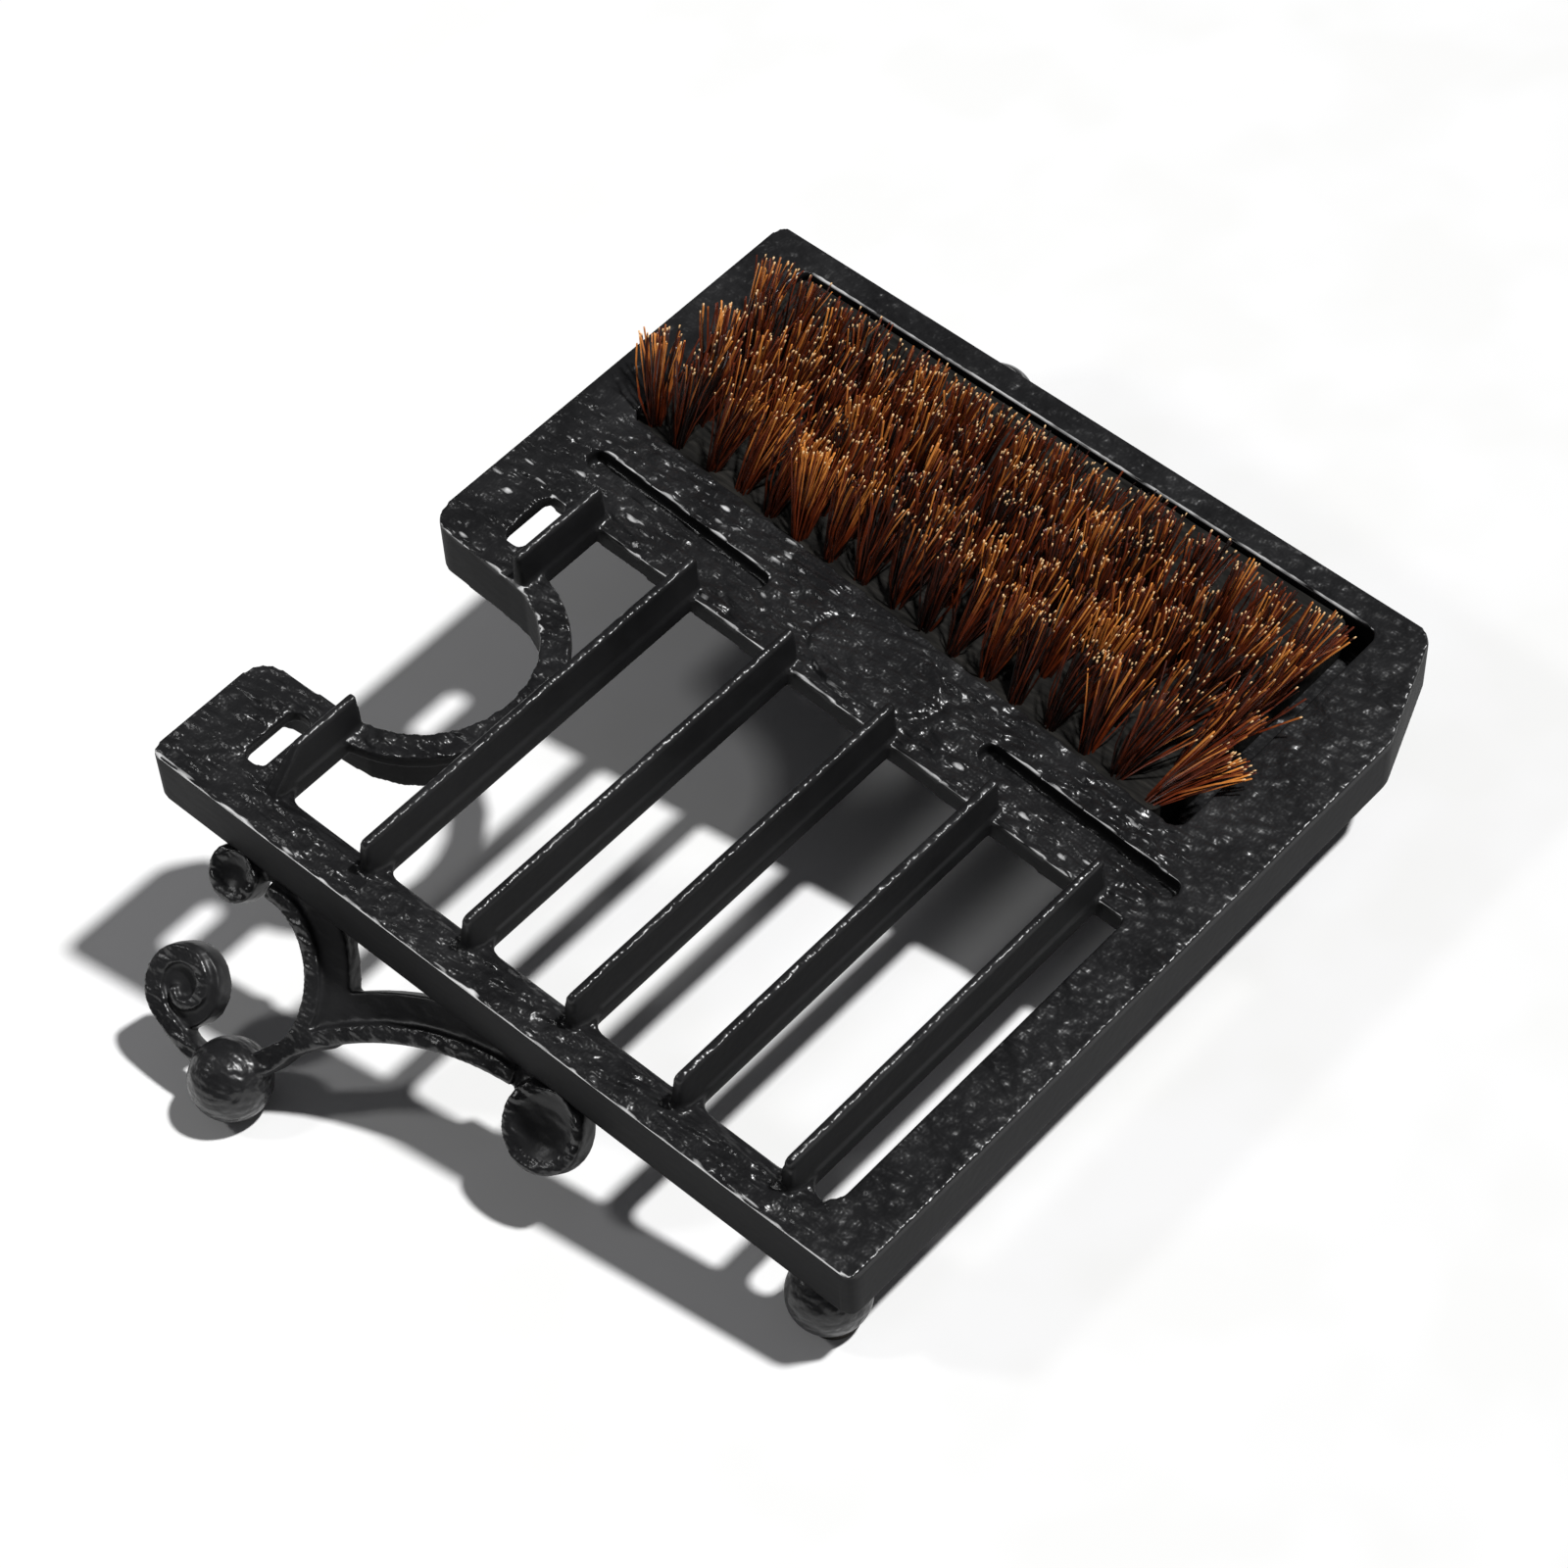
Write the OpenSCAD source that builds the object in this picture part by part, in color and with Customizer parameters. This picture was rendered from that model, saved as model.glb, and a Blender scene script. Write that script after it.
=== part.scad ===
// Cast iron boot scraper: a tilted casting with scraper blades, a heel notch and a brush,
// standing on two scroll legs at the raised end and two ball feet at the low end.
// The casting is drawn flat, with its top face at z = 0 and the raised corner at the origin,
// and on_slope() then sets it at its tilt over the floor, which is z = 0 of the finished part.

/* [Casting] */
// Length of the casting, from the notch end to the low end
frame_l = 296; // [270:1:330]
// Depth of the casting, from the scroll side to the brush side
frame_w = 300; // [285:1:330]
// Height of the outer skirt
rim_h = 22; // [18:0.5:30]
// Thickness of the skirt wall
skirt_t = 5; // [4:0.5:6]
// Thickness of the top plate
plate_t = 5; // [4:0.5:8]
// Corner radius of the casting in plan
corner_r = 4; // [2:0.5:8]
// Length taken off the cut corner, along the casting
corner_cut_l = 17; // [10:1:24]
// Depth taken off the cut corner, across the casting
corner_cut_w = 44; // [30:1:55]
// Slope of the casting over the floor, in degrees
tilt = 10; // [8:0.5:12]
// Width of the rail on the scroll side
front_rail_w = 17; // [16:0.5:22]
// Width of the rail at the low end
right_rail_w = 21; // [18:0.5:26]
// Width of the rail behind the brush
back_rail_w = 11; // [10:0.5:14]
// Width of the bevel along the inner edge of the front rail
rail_bevel_w = 5; // [3:0.5:7]
// Depth of that bevel
rail_bevel_h = 2.5; // [1:0.5:4]

/* [Heel notch] */
// Width of the notch at its mouth
notch_mouth_w = 76; // [74:0.5:80]
// Radius of the notch's round end
notch_r = 36; // [34:0.5:36.5]
// Depth of the notch from the edge of the casting
notch_depth = 73.5; // [70:0.5:78]
// Middle of the notch, from the scroll side
notch_y = 88; // [86:0.5:90]
// Radius of the two corners of the mouth
mouth_r = 9; // [5:0.5:10]
// Width of the yoke round the notch
yoke_w = 10; // [8:0.5:12]
// Width of the slot in each prong
slot_w = 9; // [7:0.5:10]
// Length of the slot in each prong
slot_l = 23; // [18:0.5:25]
// Wall between a prong slot and the stub blade
slot_wall = 7; // [6:0.5:9]
// Gap between the front rail's inner edge and the first slot
slot_in = 1.5; // [0:0.5:4]
// Corner radius of the prong slots
slot_r = 3.2; // [1:0.1:3.4]

/* [Scraper blades] */
// Number of full-length blades
blade_count = 5; // [4:1:6]
// Width of a blade along its top edge
blade_top_w = 3; // [2.5:0.25:4]
// Width of a blade along its bottom edge
blade_base_w = 6; // [5:0.25:7]
// Height of the blades above the top plate
blade_rise = 14; // [10:0.5:18]
// Depth of the blades below the top plate
blade_drop = 7; // [6:0.5:12]
// Rounding of a blade's nose on the front rail
blade_nose = 1.5; // [1:0.25:2.5]
// Length of the ramp of the short blade beside the notch
stub_ramp = 14; // [10:0.5:18]
// Length of a blade's far end that stands on the strip
blade_lap = 5; // [3:0.5:8]
// Gap between the last blade and the low end rail
last_gap = 11; // [9:0.5:16]
// Corner radius of the gaps between the blades
gap_r = 5; // [2:0.5:5.5]

/* [Strip] */
// Front edge of the strip at the raised end, from the scroll side
strip_front_high = 161; // [158:0.5:164]
// Front edge of the strip at the low end, from the scroll side
strip_front_low = 149; // [147:0.5:153]
// Thickness of the strip
strip_t = 9; // [8:0.5:12]
// Length of the two grooves in the strip
groove_l = 82; // [60:1:86]
// Width of the grooves
groove_w = 7.5; // [5:0.5:9]
// Depth of the grooves
groove_h = 5.5; // [3:0.5:6]
// Start of the first groove, from the raised end
groove_1_x = 21; // [18:1:26]
// Start of the second groove, from the raised end
groove_2_x = 199; // [192:1:202]
// Length of the bare oval boss on the strip
oval_l = 50; // [40:1:60]
// Width of the oval boss
oval_w = 29; // [20:1:32]
// Height of the oval boss
oval_h = 1; // [0.5:0.25:2]
// Middle of the oval boss, from the raised end
oval_x = 153; // [150:1:156]

/* [Brush] */
// Front edge of the brush well at the raised end, from the scroll side
well_front_high = 203.5; // [200:0.5:206]
// Front edge of the brush well at the low end, from the scroll side
well_front_low = 185; // [183:0.5:190]
// Plate between the raised end and the brush well
well_left = 20; // [15:0.5:22]
// Plate between the brush well and the low end
well_right = 30; // [28:0.5:36]
// Thickness of the wall round the well
well_wall = 4; // [3:0.5:5]
// Corner radius of the well
well_r = 4; // [2:0.5:6]
// Thickness of the floor of the well
floor_t = 4.5; // [3.5:0.25:6]
// Distance of the brush screws from the ends of the well
brush_screw_in = 48; // [30:1:70]
// Clearance round the brush block
block_gap = 0.4; // [0.2:0.1:0.8]
// Open length of the well past the low end of the block
block_pocket = 11; // [5:0.5:15]
// How far the block's top lies below the top plate
block_sunk = 3; // [2:0.5:5]
// Thickness of the drilled top layer that carries one row of bristles
layer_t = 2; // [1.5:0.25:3]
// Length of the bristles over the block
bristle_l = 31; // [24:0.5:38]
// Strands along one line of a row
strands_along = 40; // [30:1:45]
// Thickness of a strand at its foot
strand_w = 1.5; // [1:0.1:1.8]
// Thickness of a strand at its tip
strand_tip_w = 0.7; // [0.4:0.1:1]
// Bare strip of the block behind the last row of bristles
bristle_bare = 28; // [20:0.5:32]
// How far all strands lean to the back at their tips
back_lean = 12; // [6:0.5:16]
// How far the end strands lean out at their tips
end_lean = 15; // [5:1:18]
// How far the outer rows fan out at their tips
side_lean = 3; // [1:0.5:6]
// Length of each end over which the strands lean out
lean_zone = 60; // [40:1:90]

/* [Scroll legs] */
// Radius of the ball that a leg stands on
leg_ball_r = 14; // [12:0.5:16]
// Place of the leg's ball, from the raised end
leg_ball_x = 69; // [66:0.5:73]
// Lean of the front leg out from the casting, in degrees
front_splay = 43.5; // [40:0.5:47]
// Lean of the back leg out from the casting, in degrees
back_splay = 37; // [34:0.5:40]
// Setback of a leg's middle plane from the face of the skirt
leg_inset = 3; // [2:0.5:5]
// Depth of the narrow front rib of a leg
rib_d = 8; // [6:0.5:10]
// Width of the front rib
rib_w = 6; // [5:0.25:7]
// Depth of the broad back layer of a leg
web_d = 6; // [4:0.5:8]
// Extra width of the back layer on the side of the rail
web_w = 10; // [7:0.5:12]
// Place of the volute back from the leg's ball
volute_back = 30; // [28:0.5:32]
// Place of the volute up from the leg's ball
volute_up = 16.5; // [15:0.5:18]
// Outer radius of the big volute
volute_r = 15; // [13:0.5:16]
// Outer radius of the curl at the raised end
small_curl_r = 10; // [8:0.5:11]
// Outer radius of the curl towards the low end
large_curl_r = 15; // [13:0.5:16]
// Radius of the eye in the middle of a curl
curl_eye_r = 2.8; // [2:0.1:3.2]
// How far the round back of a curl lies behind the front rib
curl_sunk = 2.5; // [1:0.25:4]
// Place of the small curl, from the raised end
small_curl_x = 39; // [37:0.5:42]
// Place of the large curl, from the raised end
large_curl_x = 177.5; // [174:0.5:181]
// Thickness of the two pads that carry the leg's screws
pad_t = 5; // [4:0.5:7]
// Setback of the pads from the face of the skirt
pad_in = 0.5; // [0.5:0.25:1.5]
// Length of the pads along the rail
pad_l = 32; // [28:1:36]
// Width of the pads across the rail
pad_w = 12.5; // [12:0.5:13.5]

/* [Ball feet] */
// Radius of a ball foot
foot_r = 13.5; // [12:0.25:15]
// How far a ball foot's middle lies below the skirt
foot_drop = 12; // [11:0.25:12.5]
// Front ball foot, from the low end
front_foot_x = 16.5; // [15:0.5:20]
// Front ball foot, from the scroll side
front_foot_y = 8; // [7:0.5:11]
// Back ball foot, from the low end
back_foot_x = 20.5; // [18:0.5:21]
// Back ball foot, from the brush side
back_foot_y = 40; // [34:0.5:46]
// Height of the slice cut off under a ball foot
foot_flat = 3; // [2.5:0.25:4]
// Radius of the pad under a ball foot
foot_pad_r = 8; // [7:0.5:8.5]
// Thickness of the pad, which takes in the slice that was cut off
foot_pad_t = 3; // [2:0.25:4]

/* [Fixings] */
// Radius of the leg and foot screws
screw_r = 3; // [2.5:0.25:3]
// Clearance round a screw
screw_gap = 0.2; // [0.1:0.05:0.3]
// Radius of a screw head
head_r = 5; // [4.5:0.25:5]
// Height of a screw head
head_h = 3.6; // [2.5:0.1:4.5]
// Radius of a washer
washer_r = 6; // [5.5:0.25:6]
// Thickness of a washer
washer_t = 1.2; // [0.8:0.1:1.6]
// Front leg screws, from the scroll side
front_screw_y = 7; // [6.5:0.25:9]
// Back leg screws, from the brush side
back_screw_in = 6; // [5.5:0.25:6.5]
// Radius of the boss round a screw or a foot
boss_r = 6; // [5.5:0.25:6.5]
// First leg screw, from the raised end
screw_1_x = 62; // [58:0.5:66]
// Second leg screw, from the raised end
screw_2_x = 166; // [164:0.5:168]
// Depth of the screws in the back rail and the corners
screw_grip = 14; // [10:0.5:16]
// How far the front leg screws stop below the top plate
screw_sunk = 0.6; // [0.4:0.1:2]
// Radius of the brush screws
brush_screw_r = 2; // [1.5:0.25:2.5]
// Depth of the brush screws in the block
brush_screw_grip = 8; // [6:0.5:9]

/* [Hidden] */
$fn = 48;
iron = "#1b1b1c";
// A cut or a joined piece runs this far past the face it meets
over = 0.5;
// Larger than any part of the casting, for half-space cuts
far = 600;

// Place of the casting over the floor
foot_h = foot_r - foot_flat + foot_pad_t;
front_foot = [frame_l - front_foot_x, front_foot_y, -rim_h - foot_drop];
back_foot = [frame_l - back_foot_x, frame_w - back_foot_y, -rim_h - foot_drop];
origin_h = foot_h + front_foot[0] * sin(tilt) - front_foot[2] * cos(tilt);
function height(p) = origin_h - p[0] * sin(tilt) + p[2] * cos(tilt);

// A leg's own plane: u along the casting, v from the rail down and out to the ball
function leg_ball_v(splay) =
    (height([leg_ball_x, 0, -rim_h]) - leg_ball_r) / (cos(splay) * cos(tilt));
function leg_out(splay) = leg_ball_v(splay) * sin(splay) - leg_inset;
mid_x = (frame_l * cos(tilt) - rim_h * sin(tilt)) / 2;
mid_y = (frame_w + leg_out(back_splay) - leg_out(front_splay)) / 2;

// Blades: the first one touches the yoke, the rest share the length up to the low end rail
first_blade = notch_depth + yoke_w + blade_base_w / 2 - over;
last_blade = frame_l - right_rail_w - last_gap - blade_base_w / 2;
blade_start = front_rail_w - rail_bevel_w;
blade_pitch = (last_blade - first_blade) / (blade_count - 1);
stub_x = first_blade - blade_pitch;
notch_x = notch_depth - notch_r;
function blade_x(i) = first_blade + i * blade_pitch;
function strip_front(x) = strip_front_high + (strip_front_low - strip_front_high) * x / frame_l;
function well_front(x) = well_front_high + (well_front_low - well_front_high) * x / frame_l;
function strip_mid(x) = (strip_front(x) + well_front(x)) / 2;

// Brush well and block
well_x0 = well_left;
well_x1 = frame_l - well_right;
well_back = frame_w - back_rail_w;
block_x0 = well_x0 + block_gap;
block_x1 = well_x1 - block_pocket;
block_bottom = -rim_h + floor_t;
block_top = -block_sunk - layer_t;
brush_screws_x = [well_x0 + brush_screw_in, well_x1 - brush_screw_in];
function block_front(x) = well_front(x) + block_gap;
block_back = well_back - block_gap;
function block_y(x, f) = block_front(x) + (block_back - block_front(x)) * f;
function row_y(x, f) = block_front(x) + (block_back - bristle_bare - block_front(x)) * f;
brush_screw_f = [0.25, 0.75];
row_count = 5;

screw_1 = [screw_1_x, front_screw_y];
screw_2 = [screw_2_x, front_screw_y];
back_screw_y = frame_w - back_screw_in;
hole_r = screw_r + screw_gap;
foot_boss_r = 8;
brush_head_r = head_r - 1.5;
brush_washer_r = washer_r - 1;
low_head_h = head_h - 1;

// Points of a polygon whose corners are rounded, each corner given as [x, y, radius]
function unit(p) = p / norm(p);
function corner(a, b, c, r) =
    let (p = unit(a - b), q = unit(c - b), half = acos(max(-1, min(1, p * q))) / 2,
         mid = b + unit(p + q) * r / sin(half), s = b + p * r / tan(half) - mid,
         turn = (180 - 2 * half) * sign(p[0] * q[1] - p[1] * q[0]), steps = 6)
    [for (i = [0:steps]) mid + rotated(s, -turn * i / steps)];
function rotated(p, a) = [p[0] * cos(a) - p[1] * sin(a), p[0] * sin(a) + p[1] * cos(a)];
function xy(p) = [p[0], p[1]];
function rounded(pts) = let (n = len(pts))
    [for (i = [0:n - 1]) each pts[i][2] == 0 ? [xy(pts[i])]
        : corner(xy(pts[(i + n - 1) % n]), xy(pts[i]), xy(pts[(i + 1) % n]), pts[i][2])];

// Outline of the casting, drawn in by d from its edge
function outline(d) = let (r = max(corner_r - d, 0.5), m = mouth_r + d, a_n = notch_r + d)
    concat(
        rounded([
            [d, notch_y + notch_mouth_w / 2 + d, m], [d, frame_w - d, r],
            [frame_l - corner_cut_l - d * tan(corner_turn / 2), frame_w - d, r + 4],
            [frame_l - d, frame_w - corner_cut_w - d * tan((90 - corner_turn) / 2), r + 8],
            [frame_l - d, d, r], [d, d, r], [d, notch_y - notch_mouth_w / 2 - d, m],
            [notch_x, notch_y - a_n, 0],
            each [for (a = [-75:15:75]) [notch_x + a_n * cos(a), notch_y + a_n * sin(a), 0]],
            [notch_x, notch_y + a_n, 0]]));
corner_turn = atan2(corner_cut_w, corner_cut_l);

// A circle through three points, as [centre, radius], and points along its arc
function circle_of(a, b, c) =
    let (p = b - a, q = c - a, d = 2 * (p[0] * q[1] - p[1] * q[0]), pp = p * p, qq = q * q,
         m = a + [q[1] * pp - p[1] * qq, p[0] * qq - q[0] * pp] / d)
    [m, norm(a - m)];
function arc_through(a, b, c, n = 20) =
    let (k = circle_of(a, b, c), m = k[0], r = k[1],
         s = atan2(a[1] - m[1], a[0] - m[0]), e = atan2(c[1] - m[1], c[0] - m[0]),
         ccw = (b - a)[0] * (c - b)[1] - (b - a)[1] * (c - b)[0] > 0,
         sweep = ccw ? wrap(e - s) : -wrap(s - e))
    [for (i = [0:n]) m + r * [cos(s + sweep * i / n), sin(s + sweep * i / n)]];
function wrap(a) = a < 0 ? a + 360 : a;

// A band along a path, with its own width on each side
function along(p, i) = unit(p[min(i + 1, len(p) - 1)] - p[max(i - 1, 0)]);
function side(p, i, d) = p[i] + d * [along(p, i)[1], -along(p, i)[0]];
function band(p, right, left) = let (n = len(p) - 1) concat(
    [for (i = [0:n]) side(p, i, right)],
    [for (i = [n:-1:0]) side(p, i, -left)]);

// What is left of a path after its first points
function upper(p, from) = [for (i = [from:len(p) - 1]) p[i]];

// A many-sided disc
function disc(c, r, n = 40) =
    [for (i = [0:n - 1]) let (a = 360 * (i + 0.4) / n) c + r * [cos(a), sin(a)]];

// A band that winds in round a point, its middle line from radius r0 at angle a0 to radius r1 at
// angle a1, and half its width from h0 to h1
function spiral_point(c, r0, a0, r1, a1, f, d) =
    let (r = r0 - (r0 - r1) * f * f + d, a = a0 + (a1 - a0) * f) c + r * [cos(a), sin(a)];
function spiral_band(c, r0, a0, r1, a1, h0, h1, n = 36) = concat(
    [for (i = [0:n]) spiral_point(c, r0, a0, r1, a1, i / n, h0 + (h1 - h0) * i / n)],
    [for (i = [n:-1:0]) spiral_point(c, r0, a0, r1, a1, i / n, -h0 - (h1 - h0) * i / n)]);

// Sets flat-drawn shapes on the slope, with the middle of the part's floor area at the origin
module on_slope() translate([-mid_x, -mid_y, origin_h]) rotate([0, tilt, 0]) children();

module slab(z0, z1) translate([0, 0, z0]) linear_extrude(z1 - z0) children();

// Casting
module blade_section(x) translate([x, 0, 0]) rotate([90, 0, 180]) linear_extrude(far / 2)
    polygon([[-blade_top_w / 2, blade_rise], [blade_top_w / 2, blade_rise],
        [blade_base_w / 2, -blade_drop], [-blade_base_w / 2, -blade_drop]]);

// A blade stands at its full height on the front rail's bevel, with a slightly rounded nose
module blade_side(y0, y1) rotate([90, 0, 90]) linear_extrude(far)
    polygon([[y0 - blade_nose, -over], [y0, blade_rise - blade_nose], [y0 + blade_nose, blade_rise],
        [y1, blade_rise], [y1, -over], [y1 - blade_lap + over, -blade_drop],
        [y0 + rail_bevel_w + over, -blade_drop], [y0 + rail_bevel_w - over, -plate_t]]);

module blade(x, y0, y1) intersection() {
    blade_section(x);
    blade_side(y0, y1);
}

module stub(y0, y1, ramp) intersection() {
    blade_section(stub_x);
    rotate([90, 0, 90]) linear_extrude(far) polygon([[y0, -blade_drop], [y1, -blade_drop],
        [y1, blade_rise], [y0 + ramp, blade_rise], [y0, over]]);
}

module gap(x0, x1) polygon(rounded([[x0, front_rail_w, gap_r], [x1, front_rail_w, gap_r],
    [x1, strip_front(x1), 1.5], [x0, strip_front(x0), 1.5]]));

module gaps() {
    half = blade_base_w / 2;
    for (i = [0:blade_count - 2]) gap(blade_x(i) + half, blade_x(i + 1) - half);
    gap(last_blade + half, frame_l - right_rail_w);
    difference() {
        gap(stub_x + half, first_blade - half);
        translate([notch_x, notch_y]) circle(notch_r + yoke_w);
        translate([0, notch_y - notch_r - yoke_w]) square([notch_x, 2 * (notch_r + yoke_w)]);
    }
    for (y = [front_rail_w + slot_in, strip_front(stub_x) - slot_l])
        translate([stub_x - half - slot_wall - slot_w, y])
            polygon(rounded([[0, 0, slot_r], [slot_w, 0, slot_r], [slot_w, slot_l, slot_r],
                [0, slot_l, slot_r]]));
}

module well_plan(d = 0, r = well_r) polygon(rounded([[well_x0 - d, well_front(well_x0) - d, r + d],
    [well_x1 + d, well_front(well_x1) - d, r + d], [well_x1 + d, well_back + d, r + d],
    [well_x0 - d, well_back + d, r + d]]));

module groove(x) round_slot([x, strip_mid(x)], [x + groove_l, strip_mid(x + groove_l)], groove_w / 2);

// A slot with round ends from p to q
module round_slot(p, q, r) {
    turn = atan2(q[1] - p[1], q[0] - p[0]);
    translate(p) rotate(turn) {
        translate([r, -r]) square([norm(q - p) - 2 * r, 2 * r]);
        for (x = [r, norm(q - p) - r]) translate([x, 0]) circle(r);
    }
}

module rails() {
    slab(-plate_t, 0) difference() {
        polygon(outline(0));
        gaps();
        well_plan();
    }
    slab(-rim_h, 0) difference() {
        polygon(outline(0));
        polygon(outline(skirt_t));
    }
    slab(-rim_h, -plate_t + over) intersection() {
        polygon(outline(0));
        union() {
            difference() {
                well_plan(well_wall);
                well_plan();
            }
            translate([well_x0, well_back]) square([well_x1 - well_x0, back_rail_w]);
        }
    }
    slab(-strip_t, -plate_t + over) polygon([[skirt_t - over, strip_front(0)],
        [frame_l - skirt_t + over, strip_front(frame_l)],
        [frame_l - skirt_t + over, well_front(frame_l) - over],
        [skirt_t - over, well_front(0) - over]]);
}

module bosses() {
    for (s = [screw_1, screw_2]) translate([s[0], s[1], -rim_h]) cylinder(h = rim_h - over, r = boss_r);
    for (f = [front_foot, back_foot]) intersection() {
        translate([f[0], f[1], -rim_h]) cylinder(h = rim_h - over, r = foot_boss_r);
        slab(-rim_h, 0) polygon(outline(0));
    }
    slab(-rim_h, -rim_h + floor_t) well_plan(over);
}

module frame_casting() color(iron) on_slope() difference() {
    union() {
        difference() {
            union() {
                rails();
                bosses();
            }
            translate([stub_x, front_rail_w, 0]) rotate([90, 0, 90])
                linear_extrude(last_blade - stub_x + last_gap) polygon([[-rail_bevel_w, over],
                    [-rail_bevel_w, 0], [0, -rail_bevel_h], [gap_r, -rail_bevel_h], [gap_r, over]]);
        }
        for (i = [0:blade_count - 1]) blade(blade_x(i), blade_start, strip_front(blade_x(i)) + blade_lap);
        stub(blade_start, notch_y - notch_r - over, stub_ramp);
        stub(notch_y + notch_r + over, strip_front(stub_x) + blade_lap, 0);
        translate([oval_x, strip_mid(oval_x), -over]) linear_extrude(oval_h + over)
            scale([oval_l, oval_w] / oval_l) circle(oval_l / 2);
    }
    slab(-groove_h, over) {
        groove(groove_1_x);
        groove(groove_2_x);
    }
    for (s = [screw_1, screw_2]) translate([s[0], s[1], -rim_h - over])
        cylinder(h = rim_h + 2 * over, r = hole_r);
    for (x = [screw_1_x, screw_2_x]) translate([x, back_screw_y, -rim_h - over])
        cylinder(h = screw_grip + 2 * over, r = hole_r);
    for (f = [front_foot, back_foot]) translate([f[0], f[1], -rim_h - over])
        cylinder(h = screw_grip + 2 * over, r = hole_r);
    for (x = brush_screws_x, f = brush_screw_f) translate([x, block_y(x, f), -rim_h - over])
        cylinder(h = floor_t + 2 * over, r = brush_screw_r + screw_gap);
}

// Scroll legs, drawn in their own plane with the ball's middle on it
module rib(path) polygon(band(path, rib_w / 2, rib_w / 2));

// The volute's band winds in from volute_turn[0] to volute_turn[1] degrees
module volute_rib(c) polygon(spiral_band(c, volute_r - volute_w / 2, volute_turn[0], curl_eye_r,
    volute_turn[1], volute_w / 2, curl_eye_r / 2));

module curl_ring(c, r) difference() {
    polygon(disc(c, r));
    polygon(disc(c, r - rib_w));
}

// A leg's two arms start inside its ball: one bows round to the small curl, the long one sweeps up
// to the second screw's pad. The back layer starts part of the way up each arm and fills the fork
// between them, and a link runs on from the long arm to the large curl.
c_arm_start = [7, -9];
c_arm_bow = [16.8, 0.52];
c_arm_end = [4, -2.5];
c_web_from = 7;
long_arm_start = [4, -6];
long_arm_bow = [38, 0.37];
long_arm_end = [-5, 5.5];
long_web_from = 7;
fork_place = [22, 0.5];
fork_r = 7;
// The neck from the volute to the ball, from the volute's middle
neck_start = [-4.5, 11];
neck_bow = [8, 15];
// The volute's band at its start, and the angles between which it winds
volute_w = 7.5;
volute_turn = [110, 500];
// How far the curls run up past the underside of the rail, where they are cut off flat
curl_lift = 2;
function bow(ball, b) = [ball[0] + b[0], ball[1] * b[1]];

module leg_body(splay) {
    ball = [leg_ball_x, leg_ball_v(splay)];
    small = [small_curl_x, small_curl_r - curl_lift];
    large = [large_curl_x, large_curl_r - curl_lift];
    volute = ball - [volute_back, volute_up];
    c_arm = arc_through(ball + c_arm_start, bow(ball, c_arm_bow), small + [small_curl_r, 0] + c_arm_end);
    long_arm = arc_through(ball + long_arm_start, bow(ball, long_arm_bow), [screw_2_x, 0] + long_arm_end);
    slab(-rib_d / 2, rib_d / 2) {
        rib(c_arm);
        rib(long_arm);
        rib(arc_through(volute + neck_start, volute + neck_bow, ball));
        volute_rib(volute);
        curl_ring(small, small_curl_r);
        curl_ring(large, large_curl_r);
    }
    slab(curl_sunk - rib_d / 2, web_d) {
        polygon(band(upper(c_arm, c_web_from), rib_w / 2 - over, rib_w / 2 + web_w));
        polygon(band(upper(long_arm, long_web_from), rib_w / 2 + web_w, rib_w / 2 - over));
        polygon(disc(bow(ball, fork_place), fork_r));
        polygon(band([long_arm[len(long_arm) - 1], large], rib_w / 2, rib_w / 2));
        polygon(disc(volute, volute_r - 1));
        polygon(disc(small, small_curl_r - 1));
        polygon(disc(large, large_curl_r - 1));
    }
    translate([ball[0], ball[1], 0]) rotate(90) sphere(leg_ball_r);
}

module pads(x_list) for (x = x_list) translate([x - pad_l / 2, pad_in, -rim_h - pad_t])
    cube([pad_l, pad_w, pad_t]);

// A leg under the front rail, with its screws at depth y
module leg(splay, y) difference() {
    intersection() {
        union() {
            translate([0, leg_inset, -rim_h]) rotate([270 - splay, 0, 0]) leg_body(splay);
            pads([screw_1_x, screw_2_x]);
        }
        translate([0, -far / 2, -far - rim_h]) cube([far, far, far]);
    }
    for (x = [screw_1_x, screw_2_x]) {
        translate([x, y, -rim_h - pad_t - over]) cylinder(h = pad_t + 2 * over, r = hole_r);
        translate([x, y, -rim_h - pad_t - far / 4]) cylinder(h = far / 4, r = washer_r + 2 * screw_gap);
    }
}

module back_side() translate([0, frame_w, 0]) mirror([0, 1, 0]) children();

module front_leg() color(iron) on_slope() leg(front_splay, screw_1[1]);
module back_leg() color(iron) on_slope() back_side() leg(back_splay, frame_w - back_screw_y);

// Fixings, each along z with its head's seat at z = 0
module screw(r, grip, head, head_t) {
    translate([0, 0, -head_t]) cylinder(h = head_t, r = head);
    translate([0, 0, -over]) cylinder(h = grip + over, r = r);
}

module washer(r_in, r_out, t) difference() {
    translate([0, 0, -t]) cylinder(h = t, r = r_out);
    translate([0, 0, -t - over]) cylinder(h = t + 2 * over, r = r_in);
}

seat_z = -rim_h - pad_t;
module front_leg_screws() color("#3a3a3c") on_slope() for (s = [screw_1, screw_2])
    translate([s[0], s[1], seat_z - washer_t])
        screw(screw_r, -seat_z + washer_t - screw_sunk, head_r, head_h);

module back_leg_screws() color("#3a3a3c") on_slope() for (x = [screw_1_x, screw_2_x])
    translate([x, back_screw_y, seat_z - washer_t])
        screw(screw_r, screw_grip + pad_t + washer_t, head_r, head_h);

module leg_washers() color("#55565a") on_slope()
    for (x = [screw_1_x, screw_2_x], y = [front_screw_y, back_screw_y])
        translate([x, y, seat_z]) washer(hole_r, washer_r, washer_t);

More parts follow.
